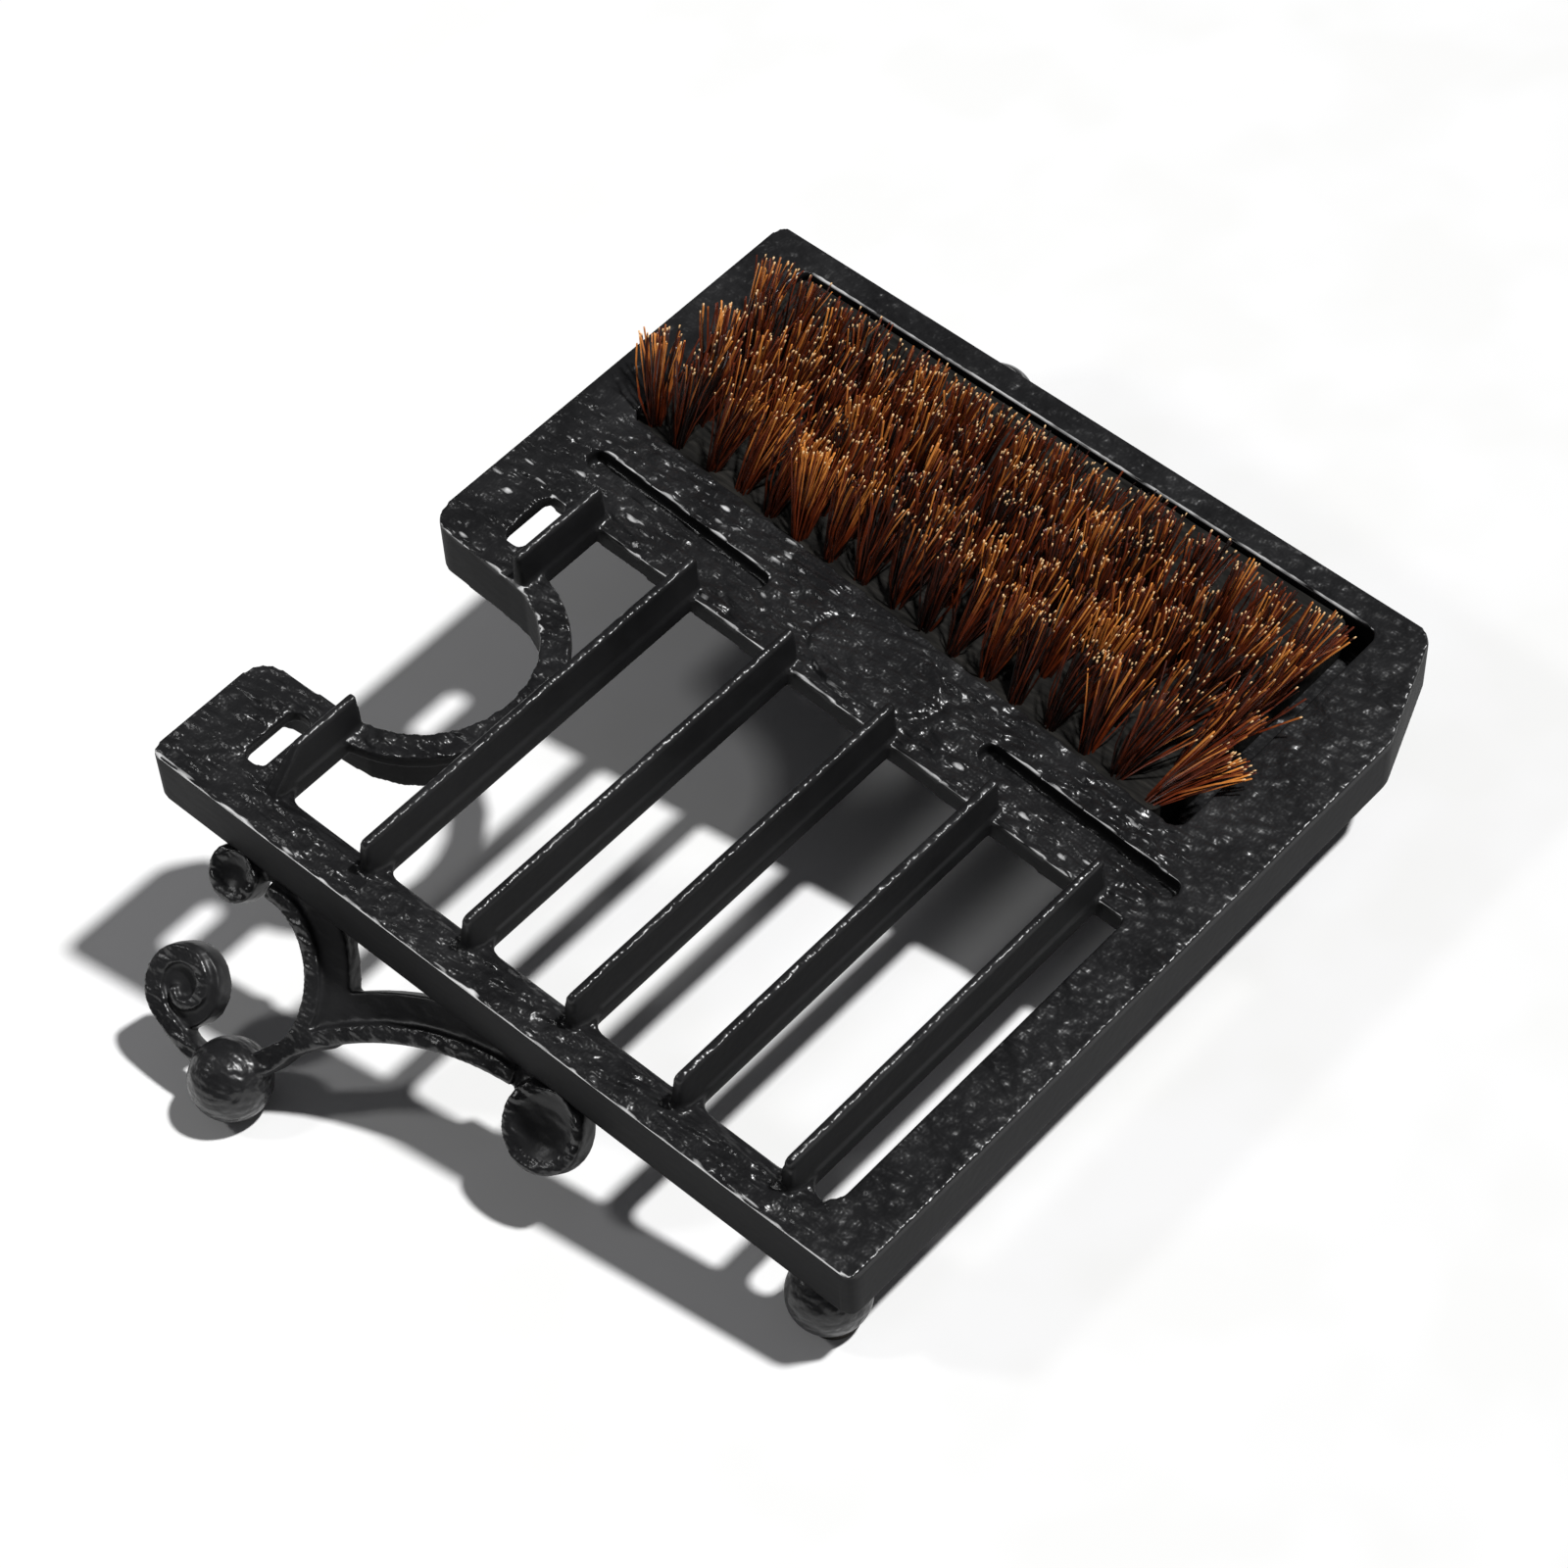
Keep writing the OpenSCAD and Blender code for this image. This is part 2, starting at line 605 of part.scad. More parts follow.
// Ball feet: flat under the skirt, flat over the pad, with a screw up the middle
foot_head_z = -foot_drop - foot_r + foot_flat + head_h;
module ball_foot(f) difference() {
    on_slope() difference() {
        translate(f) sphere(foot_r);
        translate([f[0], f[1], 0]) {
            translate([0, 0, -rim_h]) cylinder(h = rim_h, r = 2 * foot_r);
            translate([0, 0, -rim_h - 2 * foot_r]) cylinder(h = 3 * foot_r, r = hole_r);
            translate([0, 0, -rim_h - 3 * foot_r])
                cylinder(h = 3 * foot_r + foot_head_z, r = head_r + screw_gap);
        }
    }
    translate([-far / 2, -far / 2, -far + foot_pad_t]) cube([far, far, far]);
}

module foot_pad(f) translate([f[0] * cos(tilt) + f[2] * sin(tilt) - mid_x, f[1] - mid_y, 0])
    cylinder(h = foot_pad_t, r = foot_pad_r);

module front_ball_foot() color(iron) ball_foot(front_foot);
module back_ball_foot() color(iron) ball_foot(back_foot);
module foot_screws() color("#3a3a3c") on_slope() for (f = [front_foot, back_foot])
    translate([f[0], f[1], -rim_h + foot_head_z])
        screw(screw_r, screw_grip - foot_head_z, head_r, low_head_h);
module front_foot_pad() color("#4a4640") foot_pad(front_foot);
module back_foot_pad() color("#4a4640") foot_pad(back_foot);

// Brush
module brush_block() color("#6b6f73") on_slope() difference() {
    slab(block_bottom, block_top) polygon(rounded([[block_x0, block_front(block_x0), well_r],
        [block_x1, block_front(block_x1), well_r], [block_x1, block_back, well_r],
        [block_x0, block_back, well_r]]));
    for (x = brush_screws_x, f = brush_screw_f) translate([x, block_y(x, f), block_bottom - over])
        cylinder(h = brush_screw_grip + 1, r = brush_screw_r + screw_gap / 2);
}

module brush_screws() color("#8d8f92") on_slope() for (x = brush_screws_x, f = brush_screw_f)
    translate([x, block_y(x, f), -rim_h - washer_t])
        screw(brush_screw_r, floor_t + washer_t + brush_screw_grip, brush_head_r, low_head_h);

module brush_washers() color("#8d8f92") on_slope() for (x = brush_screws_x, f = brush_screw_f)
    translate([x, block_y(x, f), -rim_h]) washer(brush_screw_r + screw_gap, brush_washer_r, washer_t);

// One row of bristles: two lines of three-sided strands that stand on cells of the top layer.
// All strands lean to the back, and those near the ends and the sides fan out as well.
margin_x = well_r + 1;
function cell_x(i) = block_x0 + margin_x + (block_x1 - block_x0 - 2 * margin_x) * i / strands_along;
function row_f(row, j) = (row - 1 + j / 2) / row_count;
function cell_point(row, i, j) = let (x = cell_x(i)) [x, row_y(x, row_f(row, j))];
function lean_x(x) = end_lean * (pow(max(0, 1 - (block_x1 - x) / lean_zone), 2)
    - pow(max(0, 1 - (x - block_x0) / lean_zone), 2));
function lean_y(f) = back_lean + side_lean * (2 * f - 1);
function strand_l(i, j) = bristle_l * (1 - 0.03 * (1 + sin(137.5 * (2 * i + j))));
function strand_foot(row, i, j) = (cell_point(row, i, j) + cell_point(row, i + 1, j + 1)) / 2;
function triangle(c, w, z) = [for (k = [0:2])
    let (a = 120 * k + 90, r = w / sqrt(3)) [c[0] + r * cos(a), c[1] + r * sin(a), z]];
function strand_points(row, i, j) =
    let (c = strand_foot(row, i, j), f = row_f(row, j + 0.5), l = strand_l(i, j),
         t = c + [lean_x(c[0]), lean_y(f)])
    concat(triangle(c, strand_w, -block_sunk), triangle(t, strand_tip_w, l - block_sunk));

module bristle_row(row) {
    n = strands_along;
    top = [for (j = [0:2], i = [0:n]) let (p = cell_point(row, i, j)) [p[0], p[1], -block_sunk]];
    low = [for (j = [0, 2], i = [0:n]) let (p = cell_point(row, i, j)) [p[0], p[1], block_top]];
    strands = [for (j = [0:1], i = [0:n - 1]) each strand_points(row, i, j)];
    function top_at(i, j) = j * (n + 1) + i;
    function low_at(i, j) = 3 * (n + 1) + (j == 0 ? 0 : n + 1) + i;
    function strand_at(i, j) = 5 * (n + 1) + 6 * (j * n + i);
    function quad(a, b, c, d) = [[a, b, c], [a, c, d]];
    cells = [for (j = [0:1], i = [0:n - 1])
        let (a = top_at(i, j), b = top_at(i + 1, j), c = top_at(i + 1, j + 1), d = top_at(i, j + 1),
             s = strand_at(i, j), p = s, q = s + 1, r = s + 2)
        each concat([[a, q, b], [b, q, r], [b, r, c], [c, r, p], [c, p, d], [d, p, q], [d, q, a]],
            quad(p, p + 3, q + 3, q), quad(q, q + 3, r + 3, r), quad(r, r + 3, p + 3, p),
            [[p + 3, r + 3, q + 3]])];
    sides = [for (i = [0:n - 1]) each concat(
        quad(low_at(i, 0), top_at(i, 0), top_at(i + 1, 0), low_at(i + 1, 0)),
        quad(low_at(i + 1, 2), top_at(i + 1, 2), top_at(i, 2), low_at(i, 2)),
        quad(low_at(i, 2), low_at(i, 0), low_at(i + 1, 0), low_at(i + 1, 2)))];
    ends = concat(
        [[low_at(0, 0), low_at(0, 2), top_at(0, 1)], [low_at(0, 0), top_at(0, 1), top_at(0, 0)],
            [low_at(0, 2), top_at(0, 2), top_at(0, 1)]],
        [[low_at(n, 2), low_at(n, 0), top_at(n, 1)], [low_at(n, 0), top_at(n, 0), top_at(n, 1)],
            [low_at(n, 2), top_at(n, 1), top_at(n, 2)]]);
    color("#8a4a1e") on_slope() polyhedron(concat(top, low, strands), concat(cells, sides, ends));
}

module bristle_row_1() bristle_row(1);
module bristle_row_2() bristle_row(2);
module bristle_row_3() bristle_row(3);
module bristle_row_4() bristle_row(4);
module bristle_row_5() bristle_row(5);

frame_casting();
front_leg();
back_leg();
front_leg_screws();
back_leg_screws();
leg_washers();
front_ball_foot();
back_ball_foot();
foot_screws();
front_foot_pad();
back_foot_pad();
brush_block();
bristle_row_1();
bristle_row_2();
bristle_row_3();
bristle_row_4();
bristle_row_5();
brush_screws();
brush_washers();
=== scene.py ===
"""Looks of a cast iron boot scraper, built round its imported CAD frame.

The casting, its legs and its ball feet are softened copies of their CAD nodes, the casting with a
hammered top. The brush is thousands of cut fibres in tufts on a wooden block, and the fixings get
rounded edges and slotted heads. Everything rides on the one body of the part. Lengths are metres
unless a name ends in _mm, and angles are radians unless a docstring says degrees.
"""

import logging
import math
from dataclasses import dataclass
from enum import Enum
from typing import Any

import bpy
import numpy as np
from mathutils import Matrix, Vector, noise


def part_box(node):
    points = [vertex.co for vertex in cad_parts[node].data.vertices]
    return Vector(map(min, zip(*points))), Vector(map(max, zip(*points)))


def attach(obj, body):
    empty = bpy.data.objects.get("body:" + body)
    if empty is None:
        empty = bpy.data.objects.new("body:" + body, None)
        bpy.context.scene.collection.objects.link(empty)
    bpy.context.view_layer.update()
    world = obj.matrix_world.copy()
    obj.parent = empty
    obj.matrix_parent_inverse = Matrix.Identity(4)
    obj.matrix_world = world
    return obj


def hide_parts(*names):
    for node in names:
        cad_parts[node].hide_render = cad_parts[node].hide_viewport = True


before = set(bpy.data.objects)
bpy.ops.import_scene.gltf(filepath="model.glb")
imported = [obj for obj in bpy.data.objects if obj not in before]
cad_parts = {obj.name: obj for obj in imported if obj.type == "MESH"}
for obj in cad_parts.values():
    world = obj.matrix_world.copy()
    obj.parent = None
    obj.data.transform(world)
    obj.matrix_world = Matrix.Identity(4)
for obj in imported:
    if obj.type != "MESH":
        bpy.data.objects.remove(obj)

BODY = "root"
MM = 0.001
MERGE = 0.02 * MM
TINY = 1e-9
FRONT_SPLAY = math.radians(43.5)
BACK_SPLAY = math.radians(37)
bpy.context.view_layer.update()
log = logging.getLogger("boot_scraper")


class Slot(Enum):
    """The record's material slots."""

    IRON = "black_iron"
    SCREW = "dark_steel"
    WASHER = "zinc_steel"
    PAD = "pad_rubber"
    WOOD = "block_wood"
    FIBRE = "bristle_fibre"


def colour(code: str) -> tuple[float, float, float, float]:
    """Turns an sRGB hex value into linear red, green, blue and alpha.

    Args:
        code: Six hex digits after a hash sign.

    Returns:
        Linear values from 0 to 1, with alpha 1.
    """
    parts = [int(code[i:i + 2], 16) / 255 for i in (1, 3, 5)]
    linear = [p / 12.92 if p <= 0.04045 else ((p + 0.055) / 1.055) ** 2.4 for p in parts]
    return (*linear, 1.0)


def per_metre(size_mm: float) -> float:
    """Gives a texture scale whose features are about size_mm across."""
    return 1 / (size_mm * MM)


def add_node(tree: bpy.types.NodeTree, kind: str, inputs: dict[str | int, Any],
             **settings: Any) -> bpy.types.Node:
    """Adds a node, with its settings, its values and its links.

    Args:
        tree: The material's node tree.
        kind: The node's type name.
        inputs: Socket name or number to a value, or to the output socket that feeds it.
        settings: The node's own properties.

    Returns:
        The new node.
    """
    node = tree.nodes.new(kind)
    for key, value in settings.items():
        setattr(node, key, value)
    for key, value in inputs.items():
        if isinstance(value, bpy.types.NodeSocket):
            tree.links.new(value, node.inputs[key])
        else:
            node.inputs[key].default_value = value
    return node


def set_ramp(node: bpy.types.Node, stops: list[tuple[float, str]]) -> None:
    """Sets a colour ramp's stops.

    Args:
        node: The colour ramp.
        stops: For each stop, its place from 0 to 1 and its hex colour.
    """
    ramp = node.color_ramp
    while len(ramp.elements) < len(stops):
        ramp.elements.new(1.0)
    for element, (place, code) in zip(ramp.elements, stops):
        element.position = place
        element.color = colour(code)


def new_material(name: str) -> tuple[bpy.types.Material, bpy.types.NodeTree, bpy.types.Node]:
    """Makes an empty node material.

    Args:
        name: The material's name.

    Returns:
        The material, its node tree and its Principled shader.
    """
    material = bpy.data.materials.new(name)
    material.use_nodes = True
    tree = material.node_tree
    return material, tree, tree.nodes["Principled BSDF"]


@dataclass(frozen=True)
class PaintedIron:
    """Sand-cast iron under black gloss paint.

    The sand leaves a grain, which is too fine to show and so is drawn coarser here, and the thick
    paint pools into lumps that run along the rails. The long arrises carry a pale painted
    highlight.
    The attribute "grain" says how coarse the skin is, "polish" how glossy, and "edge_highlight" how
    much painted highlight an arris takes, each from 0 to 1. The pair highlight_span is the range of
    "edge_highlight" over which the painted highlight comes in. The other pairs are what 0 and 1 of
    "grain" or "polish" stand for.
    """

    name: str = "black_painted_cast_iron"
    paint: str = "#161617"
    paint_pale: str = "#212122"
    # The pale colour of the painted highlight on the long arrises.
    painted_highlight: str = "#d8d8d8"
    lump_mm: float = 2.7
    lump_stretch: float = 0.42
    grain_mm: float = 1.1
    grain_share: float = 0.1
    cloud_mm: float = 22.0
    depth_mm: float = 2.1
    bump: tuple[float, float] = (0.05, 1.0)
    highlight_span: tuple[float, float] = (0.4, 0.7)
    roughness: tuple[float, float] = (0.62, 0.31)
    roughness_drift: float = 0.05
    specular: tuple[float, float] = (0.1, 0.5)

    def make(self) -> bpy.types.Material:
        """Builds the material.

        Returns:
            The finished material.
        """
        material, tree, shader = new_material(self.name)
        place = add_node(tree, "ShaderNodeTexCoord", {}).outputs["Object"]
        along = add_node(tree, "ShaderNodeMapping",
                         {"Vector": place, "Scale": (self.lump_stretch, 1.0, 1.0)}).outputs[0]
        grain = add_node(tree, "ShaderNodeAttribute", {}, attribute_name="grain").outputs["Fac"]
        lumps = add_node(tree, "ShaderNodeTexNoise",
                         {"Vector": along, "Scale": per_metre(self.lump_mm), "Detail": 0.4})
        sand = add_node(tree, "ShaderNodeTexNoise",
                        {"Vector": place, "Scale": per_metre(self.grain_mm), "Detail": 0.0})
        cloud = add_node(tree, "ShaderNodeTexNoise",
                         {"Vector": place, "Scale": per_metre(self.cloud_mm), "Detail": 4.0})
        fine = add_node(tree, "ShaderNodeMath", {0: sand.outputs["Fac"], 1: self.grain_share},
                        operation="MULTIPLY")
        height = add_node(tree, "ShaderNodeMath", {0: lumps.outputs["Fac"], 1: fine.outputs[0]},
                          operation="ADD")
        strength = add_node(tree, "ShaderNodeMapRange",
                            {"Value": grain, "To Min": self.bump[0], "To Max": self.bump[1]})
        bump = add_node(tree, "ShaderNodeBump",
                        {"Strength": strength.outputs[0], "Distance": self.depth_mm * MM,
                         "Height": height.outputs[0]})
        tint = add_node(tree, "ShaderNodeValToRGB", {"Fac": cloud.outputs["Fac"]})
        set_ramp(tint, [(0.35, self.paint), (0.7, self.paint_pale)])
        # Painted highlight: the arrises are mixed towards pale grey where light would glint on
        # them.
        edge_highlight = add_node(tree, "ShaderNodeAttribute", {}, attribute_name="edge_highlight").outputs["Fac"]
        highlight_span = add_node(tree, "ShaderNodeMapRange",
                        {"Value": edge_highlight, "From Min": self.highlight_span[0], "From Max": self.highlight_span[1]})
        skin = add_node(tree, "ShaderNodeMix",
                        {"Factor": highlight_span.outputs[0], "A": tint.outputs["Color"],
                         "B": colour(self.painted_highlight)},
                        data_type="RGBA")
        tree.links.new(skin.outputs["Result"], shader.inputs["Base Color"])
        polish = add_node(tree, "ShaderNodeAttribute", {}, attribute_name="polish").outputs["Fac"]
        drift = add_node(tree, "ShaderNodeMapRange",
                         {"Value": cloud.outputs["Fac"], "From Min": 0.3, "From Max": 0.7,
                          "To Min": -self.roughness_drift, "To Max": self.roughness_drift})
        dull = add_node(tree, "ShaderNodeMapRange",
                        {"Value": polish, "To Min": self.roughness[0], "To Max": self.roughness[1]})
        gloss = add_node(tree, "ShaderNodeMath", {0: dull.outputs[0], 1: drift.outputs[0]},
                         operation="ADD")
        shine = add_node(tree, "ShaderNodeMapRange",
                         {"Value": polish, "To Min": self.specular[0], "To Max": self.specular[1]})
        tree.links.new(gloss.outputs[0], shader.inputs["Roughness"])
        tree.links.new(shine.outputs[0], shader.inputs["Specular IOR Level"])
        tree.links.new(bump.outputs["Normal"], shader.inputs["Normal"])
        return material


@dataclass(frozen=True)
class Steel:
    """Turned steel of the fixings, oiled black or zinc plated.

    It has dull patches and faint turning marks, which are drawn coarse enough to show.
    """

    name: str
    tint: str
    tint_dull: str
    roughness: tuple[float, float]
    mark_mm: float = 0.8
    mark_depth_mm: float = 0.1
    mark_bump: float = 0.25
    patch_mm: float = 3.0

    def make(self) -> bpy.types.Material:
        """Builds the material.

        Returns:
            The finished material.
        """
        material, tree, shader = new_material(self.name)
        place = add_node(tree, "ShaderNodeTexCoord", {}).outputs["Object"]
        patch = add_node(tree, "ShaderNodeTexNoise",
                         {"Vector": place, "Scale": per_metre(self.patch_mm), "Detail": 4.0})
        marks = add_node(tree, "ShaderNodeTexNoise",
                         {"Vector": place, "Scale": per_metre(self.mark_mm), "Detail": 2.0})
        tint = add_node(tree, "ShaderNodeValToRGB", {"Fac": patch.outputs["Fac"]})
        set_ramp(tint, [(0.35, self.tint), (0.7, self.tint_dull)])
        gloss = add_node(tree, "ShaderNodeMapRange",
                         {"Value": patch.outputs["Fac"], "To Min": self.roughness[0],
                          "To Max": self.roughness[1]})
        bump = add_node(tree, "ShaderNodeBump",
                        {"Strength": self.mark_bump, "Distance": self.mark_depth_mm * MM,
                         "Height": marks.outputs["Fac"]})
        tree.links.new(tint.outputs["Color"], shader.inputs["Base Color"])
        tree.links.new(gloss.outputs[0], shader.inputs["Roughness"])
        tree.links.new(bump.outputs["Normal"], shader.inputs["Normal"])
        shader.inputs["Metallic"].default_value = 1.0
        return material


@dataclass(frozen=True)
class Rubber:
    """Moulded dark rubber of the foot pads: matt, with a dusty bloom and a pebbled skin."""

    name: str = "moulded_rubber"
    base: str = "#26231f"
    bloom: str = "#4a453d"
    pebble_mm: float = 0.7
    pebble_depth_mm: float = 0.15
    pebble_bump: float = 0.3
    bloom_mm: float = 5.0
    roughness: float = 0.8

    def make(self) -> bpy.types.Material:
        """Builds the material.

        Returns:
            The finished material.
        """
        material, tree, shader = new_material(self.name)
        place = add_node(tree, "ShaderNodeTexCoord", {}).outputs["Object"]
        bloom = add_node(tree, "ShaderNodeTexNoise",
                         {"Vector": place, "Scale": per_metre(self.bloom_mm), "Detail": 5.0})
        pebble = add_node(tree, "ShaderNodeTexVoronoi",
                          {"Vector": place, "Scale": per_metre(self.pebble_mm)})
        tint = add_node(tree, "ShaderNodeValToRGB", {"Fac": bloom.outputs["Fac"]})
        set_ramp(tint, [(0.4, self.base), (0.8, self.bloom)])
        bump = add_node(tree, "ShaderNodeBump",
                        {"Strength": self.pebble_bump, "Distance": self.pebble_depth_mm * MM,
                         "Height": pebble.outputs["Distance"]})
        tree.links.new(tint.outputs["Color"], shader.inputs["Base Color"])
        tree.links.new(bump.outputs["Normal"], shader.inputs["Normal"])
        shader.inputs["Roughness"].default_value = self.roughness
        return material


@dataclass(frozen=True)
class GreyWood:
    """Sawn hardwood of the brush block, gone grey: long grain streaks and a dry, open surface.

    Its colours are drawn far darker than the wood, as painted shade under the bristles.
    """

    name: str = "shade_darkened_grey_hardwood"
    # Painted shade: these tones are far darker than the grey-brown wood, as the block lies in the
    # bristles' shade.
    dark: str = "#0e0d0c"
    mid: str = "#1b1a18"
    pale: str = "#2e2c29"
    streak_mm: float = 1.6
    streak_depth_mm: float = 0.3
    streak_bump: float = 0.5
    stretch: float = 0.05
    roughness: float = 0.8
    specular: float = 0.15

    def make(self) -> bpy.types.Material:
        """Builds the material.

        Returns:
            The finished material.
        """
        material, tree, shader = new_material(self.name)
        place = add_node(tree, "ShaderNodeTexCoord", {}).outputs["Object"]
        along = add_node(tree, "ShaderNodeMapping",
                         {"Vector": place, "Scale": (self.stretch, 1.0, 1.0)}).outputs[0]
        streak = add_node(tree, "ShaderNodeTexNoise",
                          {"Vector": along, "Scale": per_metre(self.streak_mm), "Detail": 6.0})
        tint = add_node(tree, "ShaderNodeValToRGB", {"Fac": streak.outputs["Fac"]})
        set_ramp(tint, [(0.3, self.dark), (0.5, self.mid), (0.75, self.pale)])
        bump = add_node(tree, "ShaderNodeBump",
                        {"Strength": self.streak_bump, "Distance": self.streak_depth_mm * MM,
                         "Height": streak.outputs["Fac"]})
        tree.links.new(tint.outputs["Color"], shader.inputs["Base Color"])
        tree.links.new(bump.outputs["Normal"], shader.inputs["Normal"])
        shader.inputs["Roughness"].default_value = self.roughness
        shader.inputs["Specular IOR Level"].default_value = self.specular
        return material


@dataclass(frozen=True)
class PlantFibre:
    """Stiff dyed plant fibre from dark brown to rust, with a painted glint on some cut ends.

    Each strand has its own shade. The attribute "shade" is that value, lowered towards the strand's
    foot as painted shade, and "cut" is 1 where a cut end is painted pale as a highlight.
    """

    name: str = "dyed_plant_fibre"
    dark: str = "#120502"
    rust: str = "#6e2a0c"
    pale: str = "#e39040"
    # The pale colour of a painted glint on a cut end.
    end: str = "#f0c690"
    mottle_mm: float = 2.0
    mottle: float = 0.15
    roughness: float = 0.38

    def make(self) -> bpy.types.Material:
        """Builds the material.

        Returns:
            The finished material.
        """
        material, tree, shader = new_material(self.name)
        place = add_node(tree, "ShaderNodeTexCoord", {}).outputs["Object"]
        shade = add_node(tree, "ShaderNodeAttribute", {}, attribute_name="shade").outputs["Fac"]
        cut = add_node(tree, "ShaderNodeAttribute", {}, attribute_name="cut").outputs["Fac"]
        mottle = add_node(tree, "ShaderNodeTexNoise",
                          {"Vector": place, "Scale": per_metre(self.mottle_mm), "Detail": 2.0})
        drift = add_node(tree, "ShaderNodeMapRange",
                         {"Value": mottle.outputs["Fac"], "To Min": -self.mottle,
                          "To Max": self.mottle})
        mixed = add_node(tree, "ShaderNodeMath", {0: shade, 1: drift.outputs[0]}, operation="ADD")
        tint = add_node(tree, "ShaderNodeValToRGB", {"Fac": mixed.outputs[0]})
        set_ramp(tint, [(0.02, self.dark), (0.5, self.rust), (0.95, self.pale)])
        # Cut ends that would catch the light are painted in the pale glint colour.
        skin = add_node(tree, "ShaderNodeMix",
                        {"Factor": cut, "A": tint.outputs["Color"], "B": colour(self.end)},
                        data_type="RGBA")
        tree.links.new(skin.outputs["Result"], shader.inputs["Base Color"])
        shader.inputs["Roughness"].default_value = self.roughness
        return material


@dataclass(frozen=True)
class PaleFloor:
    """Matt pale paper under the part, with the faintest mottle."""

    name: str = "pale_paper"
    base: str = "#f2f2f1"
    mottle: str = "#f5f5f5"
    mottle_mm: float = 60.0
    roughness: float = 1.0
    specular: float = 0.0

    def make(self) -> bpy.types.Material:
        """Builds the material.

        Returns:
            The finished material.
        """
        material, tree, shader = new_material(self.name)
        place = add_node(tree, "ShaderNodeTexCoord", {}).outputs["Object"]
        cloud = add_node(tree, "ShaderNodeTexNoise",
                         {"Vector": place, "Scale": per_metre(self.mottle_mm), "Detail": 2.0})
        tint = add_node(tree, "ShaderNodeValToRGB", {"Fac": cloud.outputs["Fac"]})
        set_ramp(tint, [(0.4, self.base), (0.6, self.mottle)])
        tree.links.new(tint.outputs["Color"], shader.inputs["Base Color"])
        shader.inputs["Roughness"].default_value = self.roughness
        shader.inputs["Specular IOR Level"].default_value = self.specular
        return material


def deselect_all() -> None:
    """Leaves nothing selected, in object mode."""
    if bpy.context.object and bpy.context.object.mode != "OBJECT":
        bpy.ops.object.mode_set(mode="OBJECT")
    bpy.ops.object.select_all(action="DESELECT")


def pick(piece: bpy.types.Object) -> None:
    """Selects one object alone and makes it active.

    Args:
        piece: The object to work on.
    """
    deselect_all()
    piece.select_set(True)
    bpy.context.view_layer.objects.active = piece


def shape(piece: bpy.types.Object, kind: str, **settings: Any) -> None:
    """Adds a modifier with its settings and applies it.

    Args:
        piece: The object to shape.
        kind: The modifier's type name.
        settings: The modifier's own properties.
    """
    pick(piece)
    modifier = piece.modifiers.new(kind.title(), kind)
    for key, value in settings.items():
        setattr(modifier, key, value)
    bpy.ops.object.modifier_apply(modifier=modifier.name)


def soften(piece: bpy.types.Object, voxel: float, passes: int) -> None:
    """Rounds a piece all over, as a sand casting is: an even mesh, then smoothing passes.

    Args:
        piece: The object to soften.
        voxel: The size of the even mesh.
        passes: How often it is smoothed.
    """
    shape(piece, "REMESH", mode="VOXEL", voxel_size=voxel)
    shape(piece, "SMOOTH", factor=0.5, iterations=passes)


def round_edges(piece: bpy.types.Object, width: float, segments: int, sharp: float,
                smooth_under: float) -> None:
    """Rounds a piece's sharp edges and shades its other edges smooth.

    Args:
        piece: The object to finish.
        width: The width of a rounded edge.
        segments: The number of its facets.
        sharp: The angle from which an edge is sharp.
        smooth_under: The angle up to which faces are shaded as one.
    """
    shape(piece, "BEVEL", width=width, segments=segments, limit_method="ANGLE", angle_limit=sharp)
    bpy.ops.object.shade_smooth_by_angle(angle=smooth_under)


def add_plug(piece: bpy.types.Object, corners: int, radius: float, depth: float,
             middle: tuple[float, float, float]) -> None:
    """Joins a round plug to a piece, which leaves that piece active.

    Args:
        piece: The object that takes the plug.
        corners: The number of the plug's sides.
        radius: Its radius.
        depth: Its depth.
        middle: Its middle.
    """
    deselect_all()
    bpy.ops.mesh.primitive_cylinder_add(vertices=corners, radius=radius, depth=depth,
                                        location=middle)
    bpy.ops.object.transform_apply(location=True)
    piece.select_set(True)
    bpy.context.view_layer.objects.active = piece
    bpy.ops.object.join()


def points_of(piece: bpy.types.Object) -> np.ndarray:
    """Reads an object's vertices.

    Args:
        piece: The object.

    Returns:
        One row of x, y and z a vertex.
    """
    flat = np.empty(len(piece.data.vertices) * 3, np.float32)
    piece.data.vertices.foreach_get("co", flat)
    return flat.reshape(-1, 3).astype(float)


def normals_of(piece: bpy.types.Object) -> np.ndarray:
    """Reads an object's vertex normals.

    Args:
        piece: The object.

    Returns:
        One row of x, y and z a vertex.
    """
    flat = np.empty(len(piece.data.vertices) * 3, np.float32)
    piece.data.vertex_normals.foreach_get("vector", flat)
    return flat.reshape(-1, 3).astype(float)


def put_points(piece: bpy.types.Object, points: np.ndarray) -> None:
    """Moves the object's vertices to the rows of an array."""
    piece.data.vertices.foreach_set("co", points.astype(np.float32).ravel())
    piece.data.update()


def put_attribute(piece: bpy.types.Object, name: str, values: np.ndarray) -> None:
    """Stores one number a vertex under a name that a material reads."""
    layer = piece.data.attributes.new(name, "FLOAT", "POINT")
    layer.data.foreach_set("value", values.astype(np.float32))


